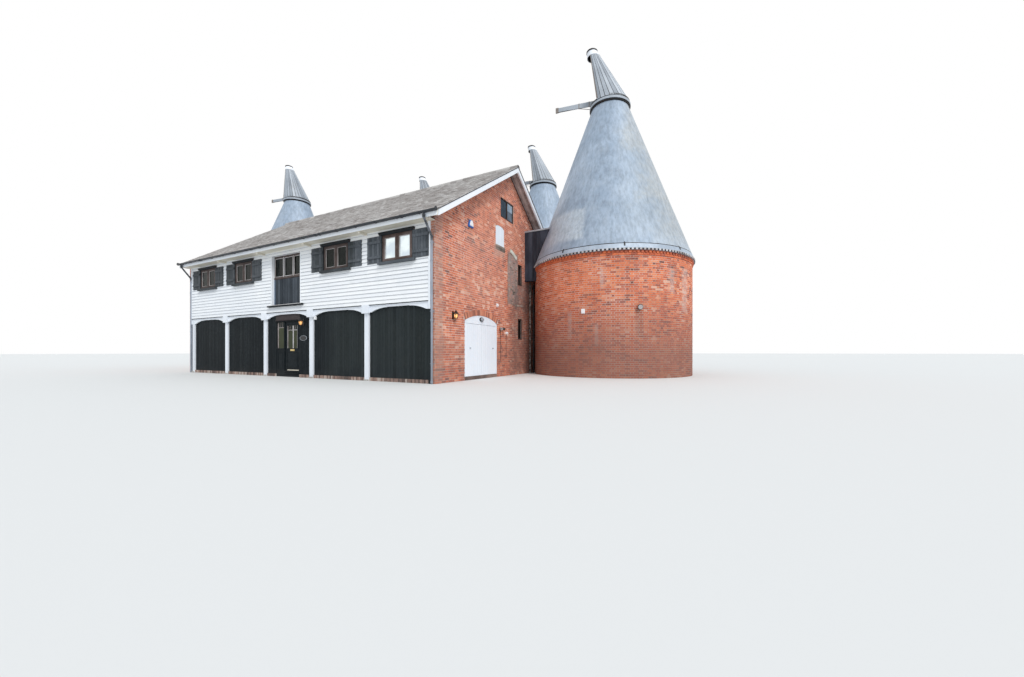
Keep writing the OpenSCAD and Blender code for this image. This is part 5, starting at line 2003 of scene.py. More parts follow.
@dataclass
class Fittings:
    """The small plain things fixed to the walls."""

    bay: Plane = front_plane(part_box("front_boarding")[0].y - TimberFront.board_out)
    wall: Plane = gable_plane(0.006)
    kiln_box_turn: float = -94.0
    kiln_lamp_turn: float = -59.5

    def boxes(self, white: Form, dark: Form) -> None:
        """Fixes the plain boxes and the sensor with its cable.

        Args:
            white: Form that takes the white ones.
            dark: Form that takes the dark ones.
        """
        bay, wall = self.bay, self.wall
        for face, low, high, tone in (
            (bay, (1.585, -0.05, 2.17), (1.70, 0.0, 2.31), 0.7),
            (bay, (1.600, -0.056, 2.19), (1.685, -0.048, 2.29), 0.9),
            (wall, (3.72, -0.06, 2.74), (3.82, 0.0, 2.86), 0.6),
            (wall, (3.735, -0.085, 2.755), (3.805, -0.055, 2.81), 0.9),
            (wall, (4.50, -0.05, 1.69), (4.60, 0.0, 1.80), 0.6),
        ):
            white.on(face, low, high, tone)
        white.turned(((0.035, 0.0), (0.04, 0.03), (0.025, 0.06), (0.004, 0.07)),
                     wall.spot(4.55, -0.05, 1.745), 14, (1.0, -0.5, -0.3))
        dark.tube([wall.spot(4.55, -0.008, w) for w in (1.69, 1.2, 0.72)], 0.006, 6)

    def ovals(self, lead: Form, dark: Form) -> None:
        """Fixes the oval plate on the bay and the raised oval on the doors' head.

        Args:
            lead: Form that takes the pale parts.
            dark: Form that takes the dark parts.
        """
        ring, oval = ([(a * math.cos(t), b * math.sin(t)) for t in circle(28)]
                      for a, b in ((0.205, 0.098), (0.130, 0.075)))
        for form, scale, out in ((lead, 1.0, 0.010), (dark, 0.90, 0.014)):
            form.loft(self.bay.rings(ring, ((scale, 0.0), (scale, out)), (0.920, 1.50)), 0.9)
        head = gable_plane(-0.018)
        for form, steps in ((dark, ((1.0, 0.0), (1.0, 0.03), (0.95, 0.045))),
                            (lead, ((0.80, 0.0), (0.80, 0.06), (0.68, 0.078), (0.4, 0.09)))):
            form.loft(head.rings(oval, steps, (2.671, 2.155)), 0.8)

    def plates(self) -> None:
        """Fixes the boxes, the sensor and the oval plates."""
        white, dark, lead = Form("wall_boxes"), Form("dark_fittings"), Form("oval_plates")
        self.boxes(white, dark)
        self.ovals(lead, dark)
        white.build(WHITE_PLASTIC, "white_timber", 0.004)
        dark.build(IRON, "black_paint", 0.002)
        lead.build(LEAD, "lead")

    def twin_lamp(self) -> None:
        """Fixes the twin spot lamp beside the doors and its cable."""
        form, pale = Form("twin_spot_lamp"), Form("twin_spot_head")
        wall, middle = self.wall, 4.09
        form.on(wall, (4.03, -0.03, 1.83), (4.15, 0.0, 1.93))
        profile = ((0.02, -0.05), (0.05, -0.02), (0.058, 0.05), (0.062, 0.052), (0.062, 0.06), (0.045, 0.061),
                   (0.03, 0.04))
        # The first head goes in the pale form: a painted highlight on one of two like heads.
        for u, lean, head in ((4.00, -0.6, pale), (4.19, 0.6, form)):
            centre = wall.spot(u, -0.08, 1.90)
            form.tube([wall.spot(middle, -0.03, 1.88), wall.spot((u + middle) / 2, -0.06, 1.885), centre],
                      0.012, 8)
            head.turned(profile, centre, 16, (0.75, lean, -0.45))
        cable = ((middle, 1.83), (4.086, 1.5), (4.094, 1.1), (4.088, 0.62))
        form.tube([wall.spot(u, -0.008, w) for u, w in cable], 0.007, 6)
        for w in (1.6, 1.3, 1.0, 0.75):
            form.on(wall, (4.075, -0.018, w), (4.105, 0.0, w + 0.012))
        form.build(IRON, "black_paint", rounded=True)
        pale.build(BEAD, "white_timber", rounded=True)

    def alarm(self) -> None:
        """Fixes the plain alarm box high on the gable."""
        outline = ((-0.135, 0.0), (0.135, 0.0), (0.135, 0.08), (0.065, 0.25), (-0.065, 0.25), (-0.135, 0.08))
        for name, finish, steps in (
            ("alarm_box", WHITE_PLASTIC, ((0.76, 0.058), (0.76, 0.075), (0.68, 0.084))),
            ("alarm_box_back", BLUE_PLASTIC, ((1.0, 0.0), (1.0, 0.060), (0.92, 0.066))),
        ):
            form = Form(name).loft(self.wall.rings(outline, steps, (1.90, 5.29), (0.02, 0.16)), 0.6)
            form.build(finish, "white_timber", 0.004)

    def kiln_lamps(self) -> None:
        """Fixes the flood lamp and the white box on the first kiln."""
        drum = kiln(1, 0.006)
        white, dark = Form("kiln_wall_box"), Form("kiln_flood_lamp")
        u = math.radians(self.kiln_box_turn) * drum.radius
        white.on(drum, (u - 0.07, -0.045, 2.42), (u + 0.07, 0.0, 2.60), 0.5)
        white.on(drum, (u - 0.055, -0.055, 2.44), (u + 0.055, -0.04, 2.58), 0.9)
        white.build(WHITE_PLASTIC, "white_timber", 0.004)
        angle = math.radians(self.kiln_lamp_turn)
        u = angle * drum.radius
        dark.on(drum, (u - 0.05, -0.02, 2.56), (u + 0.05, 0.0, 2.68))
        way = (math.cos(angle), math.sin(angle), -0.25)
        centre = drum.spot(u, -0.07, 2.62)
        dark.tube([drum.spot(u, 0.0, 2.64), drum.spot(u, -0.04, 2.66), centre], 0.014, 8)
        dark.turned(((0.03, -0.03), (0.085, 0.0), (0.10, 0.055), (0.104, 0.06), (0.098, 0.068), (0.08, 0.066),
                     (0.05, 0.05)), centre, 20, way)
        dark.build(IRON, "black_paint", rounded=True)
        # The lens is pale: a painted reflection on the lamp's glass face.
        lens = Form("kiln_flood_lens")
        lens.turned(((0.086, 0.066), (0.086, 0.072), (0.04, 0.080), (0.004, 0.082)), centre, 20, way)
        lens.build(BEAD, "glass", rounded=True)

    def pipes(self) -> None:
        """Runs the two thin pipes down the gap beside the first kiln."""
        x = BARN.right + 0.052
        for name, finish, y in (("gap_pipe_pale", PIPE_GREY, 2.00), ("gap_pipe_dark", GUTTER, 2.40)):
            form = Form(name)
            form.tube([(x, y, 0.0), (x, y, 2.07), (x, y, 4.14)], 0.034, 14)
            for z in (0.5, 1.9, 3.3):
                form.turned(((0.041, 0.0), (0.041, 0.06)), (x, y, z), 14)
                form.box((BARN.right + 0.002, y - 0.05, z + 0.07), (x, y + 0.05, z + 0.09))
            form.build(finish, "lead", rounded=True)

    def build(self) -> None:
        """Fixes everything to the walls."""
        self.plates()
        self.twin_lamp()
        self.alarm()
        self.kiln_lamps()
        self.pipes()
        Lantern("entry_lantern", self.bay, 0.93, 2.07).build()
        Lantern("gable_lantern", GABLE_FACE, 0.90, 2.13, out=0.13).build()


# Entry


@dataclass(frozen=True)
class Pane:
    """One glazed opening of the entry on its own face: its ends, its foot and its head."""

    u0: float
    u1: float
    w0: float
    w1: float
    head_share: float = 0.21

    @property
    def split(self) -> float:
        """Height of the bar under the small head panes."""
        return self.w1 - self.head_share * (self.w1 - self.w0)

    def leads(self, form: Form, face: Plane, columns: int) -> None:
        """Leads the small panes and sets the bar under them.

        Args:
            form: Form that takes the leads.
            face: Face of the glass.
            columns: Number of panes side by side over the bar.
        """
        for u in np.linspace(self.u0, self.u1, columns + 1)[1:-1]:
            form.on(face, (u - 0.005, -0.006, self.split), (u + 0.005, 0.001, self.w1), 0.0)
        form.on(face, (self.u0, -0.010, self.split - 0.010), (self.u1, 0.001, self.split + 0.010), 0.35)


@dataclass
class Entry:
    """The black front door, its side light, its header and its step."""

    leaf: Span = (-0.235, 0.645)
    glass: Pane = Pane(-0.110, 0.520, 1.12, 2.016)
    light: Pane = Pane(-0.743, -0.303, 1.12, 2.156)
    frame_y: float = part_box("entry_frame")[0].y
    door_y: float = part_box("front_door")[0].y
    body: str = "front_door"

    def frame(self) -> None:
        """Dresses the frame, the side light's pane and the panel under it."""
        face, pane = front_plane(self.frame_y), self.light
        u0, u1, w0, w1 = pane.u0, pane.u1, pane.w0, pane.w1
        black, glass, lead = Form("entry_mouldings"), Form("side_light_glass"), Form("side_light_leads")
        black.bars(face, (u0 - 0.05, u1 + 0.045), (w0 - 0.045, w1 + 0.05), 0.045, 0.010, 0.002, 0.5)
        black.bars(face, (u0 - 0.02, u1 + 0.02), (0.22, w0 - 0.09), 0.07, 0.012, 0.002, 0.5)
        black.on(face, (u0 + 0.09, -0.008, 0.33), (u1 - 0.09, 0.002, w0 - 0.20), 0.7)
        glass.on(face, (u0, 0.030, w0), (u1, 0.036, pane.split))
        head = Form("side_light_head_glass").on(face, (u0, 0.030, pane.split), (u1, 0.036, w1))
        head.build(HEAD_PANE, "glass")
        lead.on(face, (u0 + 0.004, 0.018, w0), (u0 + 0.060, 0.029, w1 - 0.02), 0.4)
        lead.on(face, (u1 - 0.016, 0.018, w0), (u1 - 0.002, 0.029, w1 - 0.02), 0.3)
        pane.leads(lead, front_plane(self.frame_y + 0.030), 3)
        black.build(BLACK_BOARD, "black_boards", 0.003)
        glass.build(DOOR_PANE, "glass")
        lead.build(BEAD, "lead")
        header = Form("entry_header_board")
        header.on(face, (-0.80, -0.022, 2.225), (0.71, 0.002, 2.445), 0.7)
        header.on(face, (-0.82, -0.05, 2.205), (0.73, -0.002, 2.228), 0.3)
        header.build(HEADER_WOOD, "brown_timber", 0.004)
        a, b = self.leaf
        step = Form("door_threshold").on(face, (a - 0.008, -0.045, 0.118), (b + 0.008, 0.012, 0.148), 0.3)
        step.build(BLACK_BOARD, "cream_timber", 0.006)

    def panels(self, face: Plane) -> None:
        """Frames the leaf's glass, its panel and its kicking board.

        Args:
            face: The leaf's front.
        """
        (a, b), pane = self.leaf, self.glass
        black = Form("front_door_panels")
        black.bars(face, (pane.u0 - 0.03, pane.u1 + 0.03), (pane.w0 - 0.03, pane.w1 + 0.03),
                   0.03, 0.012, 0.002, 0.6)
        black.bars(face, (a + 0.10, b - 0.10), (0.33, 0.98), 0.028, 0.010, 0.002, 0.6)
        black.on(face, (a + 0.15, -0.008, 0.385), (b - 0.15, 0.002, 0.925), 0.7)
        black.on(face, (a + 0.003, -0.022, 0.175), (b - 0.003, 0.002, 0.235), 0.4)
        black.build(BLACK_BOARD, "black_paint", 0.003, self.body)

    def glazing(self, face: Plane) -> None:
        """Glazes the leaf behind its leads.

        Args:
            face: The leaf's front.
        """
        pane, fit = self.glass, 0.001
        u0, u1, w0, w1 = pane.u0, pane.u1, pane.w0, pane.w1
        head = Form("front_door_head_glass")
        head.on(face, (u0 + fit, 0.0085, pane.split), (u1 - fit, 0.0135, w1 - fit))
        head.build(HEAD_PANE, "glass", body=self.body)
        lead = Form("front_door_leads")
        for u, half, tone in ((u0 + 0.016, 0.014, 0.3), (u0 + 0.36, 0.022, 0.5), (u1 - 0.014, 0.010, 0.3)):
            lead.on(face, (u - half, -0.004, w0), (u + half, 0.0084, w1 - 0.02), tone)
        pane.leads(lead, front_plane(self.door_y + 0.0085), 4)
        lead.build(BEAD, "lead", body=self.body)
        glass = Form("front_door_glass")
        glass.on(face, (u0 + fit, 0.0085, w0 + fit), (u1 - fit, 0.0135, pane.split))
        glass.build(DOOR_PANE, "glass", body=self.body)

    def door(self) -> None:
        """Dresses the leaf with its panels, its glazing, its plate and its weather bar."""
        face = front_plane(self.door_y)
        self.panels(face)
        self.glazing(face)
        brass = Form("letter_plate").on(face, (0.08, -0.010, 1.01), (0.335, 0.0, 1.082), 0.6)
        brass.on(face, (0.105, -0.015, 1.025), (0.31, -0.008, 1.067), 0.8)
        brass.build(BRASS, "black_paint", 0.002, self.body)
        bar = Form("weather_bar").on(face, (-0.085, -0.034, 0.246), (0.60, 0.0, 0.262), 0.4)
        bar.on(face, (-0.085, -0.026, 0.260), (0.60, 0.0, 0.285), 0.8)
        bar.build(STEP_WOOD, "cream_timber", 0.004, self.body)

    def build(self) -> None:
        """Builds the whole entry."""
        self.frame()
        self.door()


# Gable doors


@dataclass
class GableDoors:
    """White boarded doors under a boarded arched head, and the white hatch over them."""

    board: float = 0.132
    board_out: float = 0.010
    hatch_board: float = 0.115
    hatch_out: float = 0.012
    leaf_foot: float = 0.130
    leaf_top: float = 1.958
    leaves: tuple[Span, ...] = ((1.646, 2.685), (2.695, 3.734))
    knobs: Span = (1.916, 3.477)
    knob_height: float = 1.11
    head_frame: float = 0.045
    head_blocks: int = 24
    fit: float = 0.001
    head_top: float = 2.4
    face: Plane = gable_plane(-0.020)

    def leaf(self, side: str, span: Span, knob_u: float, rng: Random) -> None:
        """Boards one leaf and sets its knob.

        Args:
            side: Which leaf it is, left or right.
            span: Both its ends along the gable.
            knob_u: Place of its knob along the gable.
            rng: Source of the boards' small differences.
        """
        body = f"gable_door_{side}"
        form = Form(body + "_boards")
        form.boards(self.face, span, (self.leaf_foot, self.leaf_top), self.board, self.board_out, rng, 0.0025)
        form.tones = [0.45 + 0.3 * tone for tone in form.tones]
        form.build(WHITE_PAINT, "white_timber", 0.0012, body)
        knob = Form(body + "_knob")
        knob.turned(((0.022, 0.0), (0.022, 0.005), (0.009, 0.008), (0.009, 0.024), (0.020, 0.034),
                     (0.018, 0.046), (0.003, 0.050)),
                    self.face.spot(knob_u, -self.board_out, self.knob_height), 18, ALONG)
        knob.build(LEAD, "lead", body=body, rounded=True)

    def head(self, rng: Random) -> None:
        """Boards the arched head over the leaves and frames it.

        Args:
            rng: Source of the boards' small differences.
        """
        gable, face, width, fit = Gable(), self.face, self.head_frame, self.fit
        radius, (middle, centre), (left, right) = gable.radius, gable.middle, gable.gate
        inner = radius - width
        head = Form("door_head_boards")
        for span in self.leaves:
            head.boards(face, span, (self.leaf_top + 0.010, self.head_top), self.board, self.board_out, rng,
                        ceiling=lambda u: centre + np.sqrt(inner ** 2 - (u - middle) ** 2))
        for a, b in ((left + fit, left + fit + width), (right - fit - width, right - fit)):
            head.on(face, (a, -0.014, 0.0), (b, 0.002, gable.spring + 0.02), 0.7)
        sweep = np.linspace(-1, 1, self.head_blocks + 1) * math.asin((right - middle - 0.003) / radius)
        corners = arched(face, gable.middle, (inner, radius - 0.002), sweep[:-1], sweep[1:], -0.014, 0.002)
        head.blocks(corners, 0.7)
        head.build(WHITE_PAINT, "white_timber", 0.002)

    def doors(self) -> None:
        """Boards both leaves and the head, and sets the threshold."""
        rng = np.random.default_rng(123)
        for side, span, knob in zip(("left", "right"), self.leaves, self.knobs):
            self.leaf(side, span, knob, rng)
        self.head(rng)
        left, right = Gable().gate
        sill = Form("gate_threshold")
        sill.on(GABLE_FACE, (left + 0.002, 0.004, 0.0), (right - 0.002, 0.05, 0.121), 0.3)
        sill.build(KERB_BRICK, "concrete", 0.006)

    def hatch(self) -> None:
        """Boards the hatch and sets its sill."""
        rng = np.random.default_rng(127)
        hole = Gable().hatch
        form = Form("hatch_boards")
        form.boards(self.face, (hole.u0 + 0.004, hole.u1 - 0.004), (hole.w0 + 0.004, 6.1), self.hatch_board,
                    self.hatch_out, rng, 0.005, ceiling=lambda u: hole.top(u) - 0.006)
        form.build(WHITE_PAINT, "white_timber", 0.002)
        a, b, foot = hole.u0, hole.u1, hole.w0
        sill = Form("hatch_sill")
        sill.on(GABLE_FACE, (a - 0.02, -0.028, foot - 0.085), (b + 0.03, 0.0, foot - 0.001), 0.8)
        sill.on(GABLE_FACE, (a, -0.012, foot - 0.20), (b + 0.06, 0.0, foot - 0.083), 0.6)
        sill.build(CEMENT, "concrete", 0.008)

    def build(self) -> None:
        """Builds the doors and the hatch."""
        self.doors()
        self.hatch()


@dataclass
class GablePatch:
    """The scar of a lost lean-to: a mortar ridge up the wall and a mossy fillet at its top."""

    step: float = 0.07
    scraps: int = 26
    scrap_u: Span = (4.78, 5.55)
    scrap_w: Span = (3.05, 4.95)
    fillet: Span = (5.15, 5.10)

    def ragged(self, form: Form, path: Sequence[Span], width: float, out: float, tone: float,
               rng: Random) -> None:
        """Runs a ragged ridge along a path on the gable.

        Args:
            form: Form that takes it.
            path: Places (u, w) along it.
            width: Its mean width.
            out: How far it stands out.
            tone: Its tone.
            rng: Source of its rough edge.
        """
        path = np.array(path)
        steps = np.concatenate([[0.0], np.cumsum(np.hypot(*np.diff(path, axis=0).T))])
        at = np.linspace(0.0, steps[-1], max(3, int(steps[-1] / self.step)))
        line = np.stack([np.interp(at, steps, path[:, 0]), np.interp(at, steps, path[:, 1])], 1)
        way = np.gradient(line, axis=0)
        side = np.stack([way[:, 1], -way[:, 0]], 1) / np.hypot(*way.T)[:, None]
        half = width / 2 * rng.uniform(0.5, 1.4, (2, len(at)))
        rings = []
        for middle, sideways, before, after in zip(line, side, *half):
            left, right = middle - sideways * before, middle + sideways * after
            rise = out * rng.uniform(0.7, 1.2)
            rings.append([(left[0], 0.0, left[1]), (middle[0], -rise, middle[1]), (right[0], 0.0, right[1]),
                          (middle[0], 0.004, middle[1])])
        form.loft(GABLE_FACE.place(np.array(rings)), tone)

    def build(self) -> None:
        """Lays the ridge and the fillet over the bricks."""
        rng = np.random.default_rng(131)
        form = Form("lean_to_scar")
        self.ragged(form, [(4.70, 2.95), (4.73, 3.6), (4.69, 4.3), (4.73, 5.1)], 0.05, 0.016, 0.2, rng)
        self.ragged(form, [(4.9, 3.0), (5.5, 2.97), (6.2, 3.02)], 0.07, 0.014, 0.5, rng)
        for _ in range(self.scraps):
            u, w, size = rng.uniform(*self.scrap_u), rng.uniform(*self.scrap_w), rng.uniform(0.05, 0.14)
            self.ragged(form, [(u - size, w), (u, w + rng.uniform(-0.02, 0.02)), (u + size, w)],
                        rng.uniform(0.05, 0.11), 0.011, rng.random(), rng)
        form.build(CEMENT, "concrete")
        outline = np.array([(4.88, 5.12), (5.08, 5.08), (5.38, 4.92), (5.50, 4.92), (5.50, 5.04),
                            (5.10, 5.24), (4.90, 5.28)])
        inner = self.fillet + (outline - self.fillet) * (0.94, 0.9)
        rings = [[(u, d, w) for u, w in ring] for ring, d in ((outline, 0.0), (inner, -0.045))]
        lead = Form("lead_fillet").loft(GABLE_FACE.place(np.array(rings)), 0.9)
        lead.build(MOSSY_LEAD, "lead", 0.006)


# Eaves, verges and rainwater


@dataclass
class Rainwater:
    """Gutter brackets and unions, pipe sockets, and fascia boards along the eaves."""

    spacing: float = 0.9
    union_spacing: float = 4.0
    gutter_r: float = 0.060
    pipe_r: float = 0.034
    gap: float = 0.006
    corner_pipe: float = 0.085

    def half_round(self, x: float, y: float, z: float, out: float) -> list[Point]:
        """Returns a half round at a stand-out from the underside of a gutter."""
        reach = self.gutter_r + out
        return [(x, y + reach * math.cos(a), z + reach * math.sin(a)) for a in np.linspace(-math.pi, 0, 9)]

    def gutters(self, form: Form) -> None:
        """Adds the brackets, the unions and the stop ends of both gutters.

        Args:
            form: Form that takes them.
        """
        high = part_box("gutters")[1]
        for side, end in ((-1, BARN.verge_right), (1, BARN.right)):
            y, z, start = side * (high.y - self.gutter_r), high.z, BARN.verge_left
            for x in np.arange(start + 0.3, end, self.spacing):
                form.tube(self.half_round(x, y, z, 0.006), 0.008, 6, 0.4)
            for x in np.arange(start + 2.0, end, self.union_spacing):
                for shift in (-0.03, -0.01, 0.01, 0.03):
                    form.tube(self.half_round(x + shift, y, z, 0.003), 0.009, 6, 0.6)
            for x in (start, end):
                form.turned(((0.064, -0.004), (0.064, 0.006)), (x, y, z), 24, ALONG)

    def pipes(self, form: Form, joints: Form) -> None:
        """Adds the sockets and the clips of the downpipes, and their outlets.

        Args:
            form: Form that takes the outlets.
            joints: Form that takes the sockets and the clips.
        """
        outlet_y = self.gutter_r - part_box("gutters")[1].y
        under = BARN.edge_under
        y = BARN.front - self.pipe_r - self.gap
        for x in (BARN.right - self.corner_pipe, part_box("downpipes")[0].x + self.pipe_r):
            for z in (0.02, 1.9, 3.75, under - 0.56):
                joints.turned(((0.036, 0.0), (0.043, 0.004), (0.043, 0.075), (0.036, 0.08)), (x, y, z), 18)
            for z in (0.6, 2.2, under - 0.7):
                joints.box((x - 0.075, y + 0.012, z + 0.002), (x + 0.075, y + 0.036, z + 0.028))
            form.turned(((0.036, 0.0), (0.042, 0.01), (0.045, 0.09)), (x, outlet_y, under - 0.05), 18)

    def build(self) -> None:
        """Builds every piece of it."""
        form, joints = Form("gutter_fittings"), Form("pipe_fittings")
        self.gutters(form)
        self.pipes(form, joints)
        form.build(GUTTER, "black_plastic", rounded=True)
        joints.build(PIPE_PAINT, "black_plastic", rounded=True)
        fascia = Form("fascia_boards")
        near, far = BARN.edge + 0.025, BARN.edge + 0.033
        for a, b, end in ((-far, -near, BARN.verge_right), (near, far, BARN.right)):
            fascia.box((BARN.verge_left, a, BARN.edge_under - 0.031), (end, b, BARN.edge_under + 0.10), 0.8)
        fascia.build(WHITE_PAINT, "white_timber", 0.002)


@dataclass
class Verges:
    """White bargeboards under a dark undercloak, with boarded soffits back to the brick."""

    board: float = 0.200
    drop: float = 0.024
    outs: Span = (0.062, 0.032)
    under: float = 0.180
    soffit_w: float = 0.12

    def strip(self, form: Form, x: Span, z: Span, side: int, reach: float, tone: float = 0.5) -> None:
        """Adds a strip that follows one slope.

        Args:
            form: Form that takes it.
            x: Both sides of the strip.
            z: Its underside and top, from the line of the tiles' bed.
            side: -1 for the front slope, 1 for the rear one.
            reach: How far it runs from the ridge across the barn.
            tone: Its tone.
        """
        (a, b), (low, high) = sorted(x), z
        ends = []
        for y in (0.0, reach):
            line = BARN.ridge - y * BARN.rise
            ends.append([(a, side * y, line + low), (b, side * y, line + low), (b, side * y, line + high),
                         (a, side * y, line + high)])
        form.loft(np.array(ends if side > 0 else ends[::-1])[:, ::-1], tone)

    def build(self) -> None:
        """Builds the boards of both gables."""
        white, dark, soffit = Form("verge_boards"), Form("verge_undercloak_and_shadow_line"), Form("verge_soffits")
        rng = np.random.default_rng(161)
        drop, under = -self.drop, -self.under
        for wall, verge, out, way in ((BARN.right, BARN.verge_right, self.outs[0], 1),
                                      (BARN.left, BARN.verge_left, self.outs[1], -1)):
            for side in (-1, 1):
                reach = TiledRoof().stop_y() if way > 0 and side > 0 else BARN.edge
                outer, inner = verge + way * out, wall + way * 0.002
                self.strip(white, (verge, outer), (drop - self.board, drop), side, reach, 0.7)
                self.strip(dark, (verge - way * 0.02, outer + way * 0.010), (drop - 0.012, 0.006), side,
                           reach)
                # A dark strip on the wall just under the soffit: a painted shadow line.
                self.strip(dark, (inner, wall + way * 0.030), (under - 0.046, under - 0.018), side, reach,
                           0.2)
                edges = np.linspace(inner, verge, max(1, round(abs(verge - wall) / self.soffit_w)) + 1)
                for a, b in zip(edges[:-1], edges[1:]):
                    self.strip(soffit, (a, b - way * 0.006), (under - 0.020, under + 0.002), side, reach,
                               rng.random())
        white.build(WHITE_PAINT, "white_timber", 0.003, replaces=("bargeboards",))
        dark.build(GUTTER, "black_paint", 0.002)
        soffit.build(SOFFIT_BOARD, "cream_timber", 0.002)


# Kiln roofs and cowls


@dataclass
class KilnRoof:
    """The grey sheets of one kiln's cone, its eaves band with clips, and its curb."""

    number: int
    gores: int = 24
    rows: int = 14
    band: float = 0.25
    foot_gap: float = 0.07
    head_gap: float = 0.07
    overlap: float = 0.03
    wave: float = 0.0012
    tuck: float = 0.004
    sides: int = 96
    curb_sides: int = 64
    clips: int = 9
    clip_turn: float = -68.5
    clip_half: float = 0.024
    clip_t: float = 0.022
    clip_limit: float = -0.9
    bed_gap: float = 0.25
    curb: tuple[Span, ...] = ((0.80, -0.19), (0.845, -0.17), (0.895, -0.13), (0.905, -0.102), (0.86, -0.101))
    cap: tuple[Span, ...] = ((0.80, -0.098), (0.900, -0.096), (0.904, -0.08), (0.904, -0.008), (0.89, 0.004),
                             (0.80, 0.004))

    def __post_init__(self) -> None:
        """Finds the kiln's axis, its seam, and whether it stands against the gable."""
        self.x0, self.y0 = kiln(self.number).centre
        self.seam = EAVES + self.band
        self.seam_r = self.radius(self.seam)
        self.clipped = self.number == 1

    def radius(self, z: float) -> float:
        """Returns the cone's radius at a height."""
        return CONE_R[0] - (z - CONE_FOOT) * CONE_LEAN

    def skin(self, name: str, low: Point, high: Point, rows: int, lap: float, rng: Random,
             finish: Finish) -> None:
        """Lays one ring of lapped sheets.

        Args:
            name: What the ring is, for the name of the piece.
            low: Radius, height and stand-out of their feet.
            high: Radius, height and stand-out of their heads.
            rows: Rows of faces up each sheet.
            lap: Step at a sheet's lapped edge.
            rng: Source of their small waves.
            finish: Their finish.
        """
        form = Form(f"cone_{self.number}_{name}")
        step = 2 * math.pi / self.gores
        share = np.linspace(0, 1, rows + 1)
        radius, z, stand_out = (a + share * (b - a) for a, b in zip(low, high))
        count = rows + 2
        for g in range(self.gores):
            columns = []
            for s, out in ((0, None), (0, lap), (0.25, lap * 0.75), (0.5, lap * 0.5), (0.75, lap * 0.25),
                           (1, 0.0)):
                angle = g * step + s * step
                reach = radius - self.tuck if out is None else radius + (stand_out + out)
                reach = reach + (rng.normal(0, self.wave, rows + 1) if 0 < s < 1 else 0)
                x = self.x0 + reach * math.cos(angle)
                if self.clipped:
                    x = np.maximum(x, BARN.right + 0.003)
                columns.append(np.stack([x, self.y0 + reach * math.sin(angle), z], 1))
            grid = np.array(columns)
            foot = grid[:, 0].copy()
            foot[:, :2] += (np.array([self.x0, self.y0]) - foot[:, :2]) * (low[2] + self.tuck) / low[0]
            grid = np.concatenate([foot[:, None], grid], axis=1)
            faces = [(c * count + r, (c + 1) * count + r, (c + 1) * count + r + 1, c * count + r + 1)
                     for c in range(5) for r in range(count - 1)]
            form.mesh(grid, faces, 0.42 + 0.16 * rng.random())
        form.build(finish, "cone_sheet", rounded=True)

    def clip(self, form: Form, angle: float) -> None:
        """Bends one strap over the seam.

        Args:
            form: Form that takes it.
            angle: Its place round the kiln.
        """
        way = np.array([math.cos(angle), math.sin(angle)])
        side = np.array([-math.sin(angle), math.cos(angle)])
        strap = []
        for lift, out in ((-0.11, 0.012), (-0.03, 0.034), (0.07, 0.008)):
            z = self.seam + lift
            reach = self.radius(z) + out
            back = reach - self.clip_t
            strap.append([(*(np.array([self.x0, self.y0]) + r * way + t * self.clip_half * side), z)
                          for r, t in ((reach, -1), (reach, 1), (back, 1), (back, -1))])
        form.loft(np.array(strap), 0.5)

    def iron(self) -> None:
        """Adds the dark lines of the eaves, the seam and the curb, and the clips; the eaves and seam lines
        are painted shadow in the gaps there.
        """
        iron = Form(f"cone_{self.number}_iron")
        foot, seam = CONE_R[0], self.seam_r
        # The eaves ring and the seam line are dark strips in gaps that lie in shade: painted shadow.
        eaves = ((foot - 0.05, -0.012), (foot + 0.004, -0.012), (foot + 0.010, 0.0), (foot - 0.05, 0.0))
        line = ((seam + 0.001, self.band - 0.005), (seam + 0.006, self.band - 0.003),
                (seam - 0.006, self.band + 0.035), (seam - 0.02, self.band + 0.04))
        profiles = ((eaves, EAVES, self.sides), (line, EAVES, self.sides),
                    (self.curb, CURB_TOP, self.curb_sides))
        for profile, z, sides in profiles[1:] if self.clipped else profiles:
            iron.turned(profile, (self.x0, self.y0, z), sides, caps=False)
        for k in range(self.clips):
            angle = math.radians(self.clip_turn + 360 / self.clips * k)
            if not self.clipped or math.cos(angle) >= self.clip_limit:
                self.clip(iron, angle)
        iron.build(IRON, "black_paint", rounded=True)

    def shade_and_dentils(self, rng: Random) -> None:
        """Sets a dark band round the foot of the sheets, painted shadow under the eaves band, with pale brick
        ends in front of it, toned grey as though in that shadow.

        Args:
            rng: Source of the tones.
        """
        drum = Drum((self.x0, self.y0), CONE_R[0] + 0.012)
        # The dark band is painted shadow; the brick ends are greyed by the same painted shade.
        for name, size, gap, out, tones, finish in (
            ("dark", 0.227, 0.0, 0.006, (0.0, 0.2), GUTTER), ("ends", 0.151, 0.075, 0.020, (0.4, 1.0), BEAD),
        ):
            count = round(drum.around / size)
            start = drum.around / count * np.arange(count)
            end = start + drum.around / count - gap
            if self.clipped:
                keep = self.x0 + drum.radius * np.cos(start / drum.radius) > BARN.right + self.bed_gap
                start, end = start[keep], end[keep]
            strips = level(start, end, EAVES + 0.002, EAVES + 0.068, rng.uniform(*tones, len(start)))
            form = Form(f"cone_{self.number}_bedding_{name}")
            form.blocks(laid(strips, drum, out), strips[:, 7], skip=("back",))
            form.build(finish, "cone_sheet")

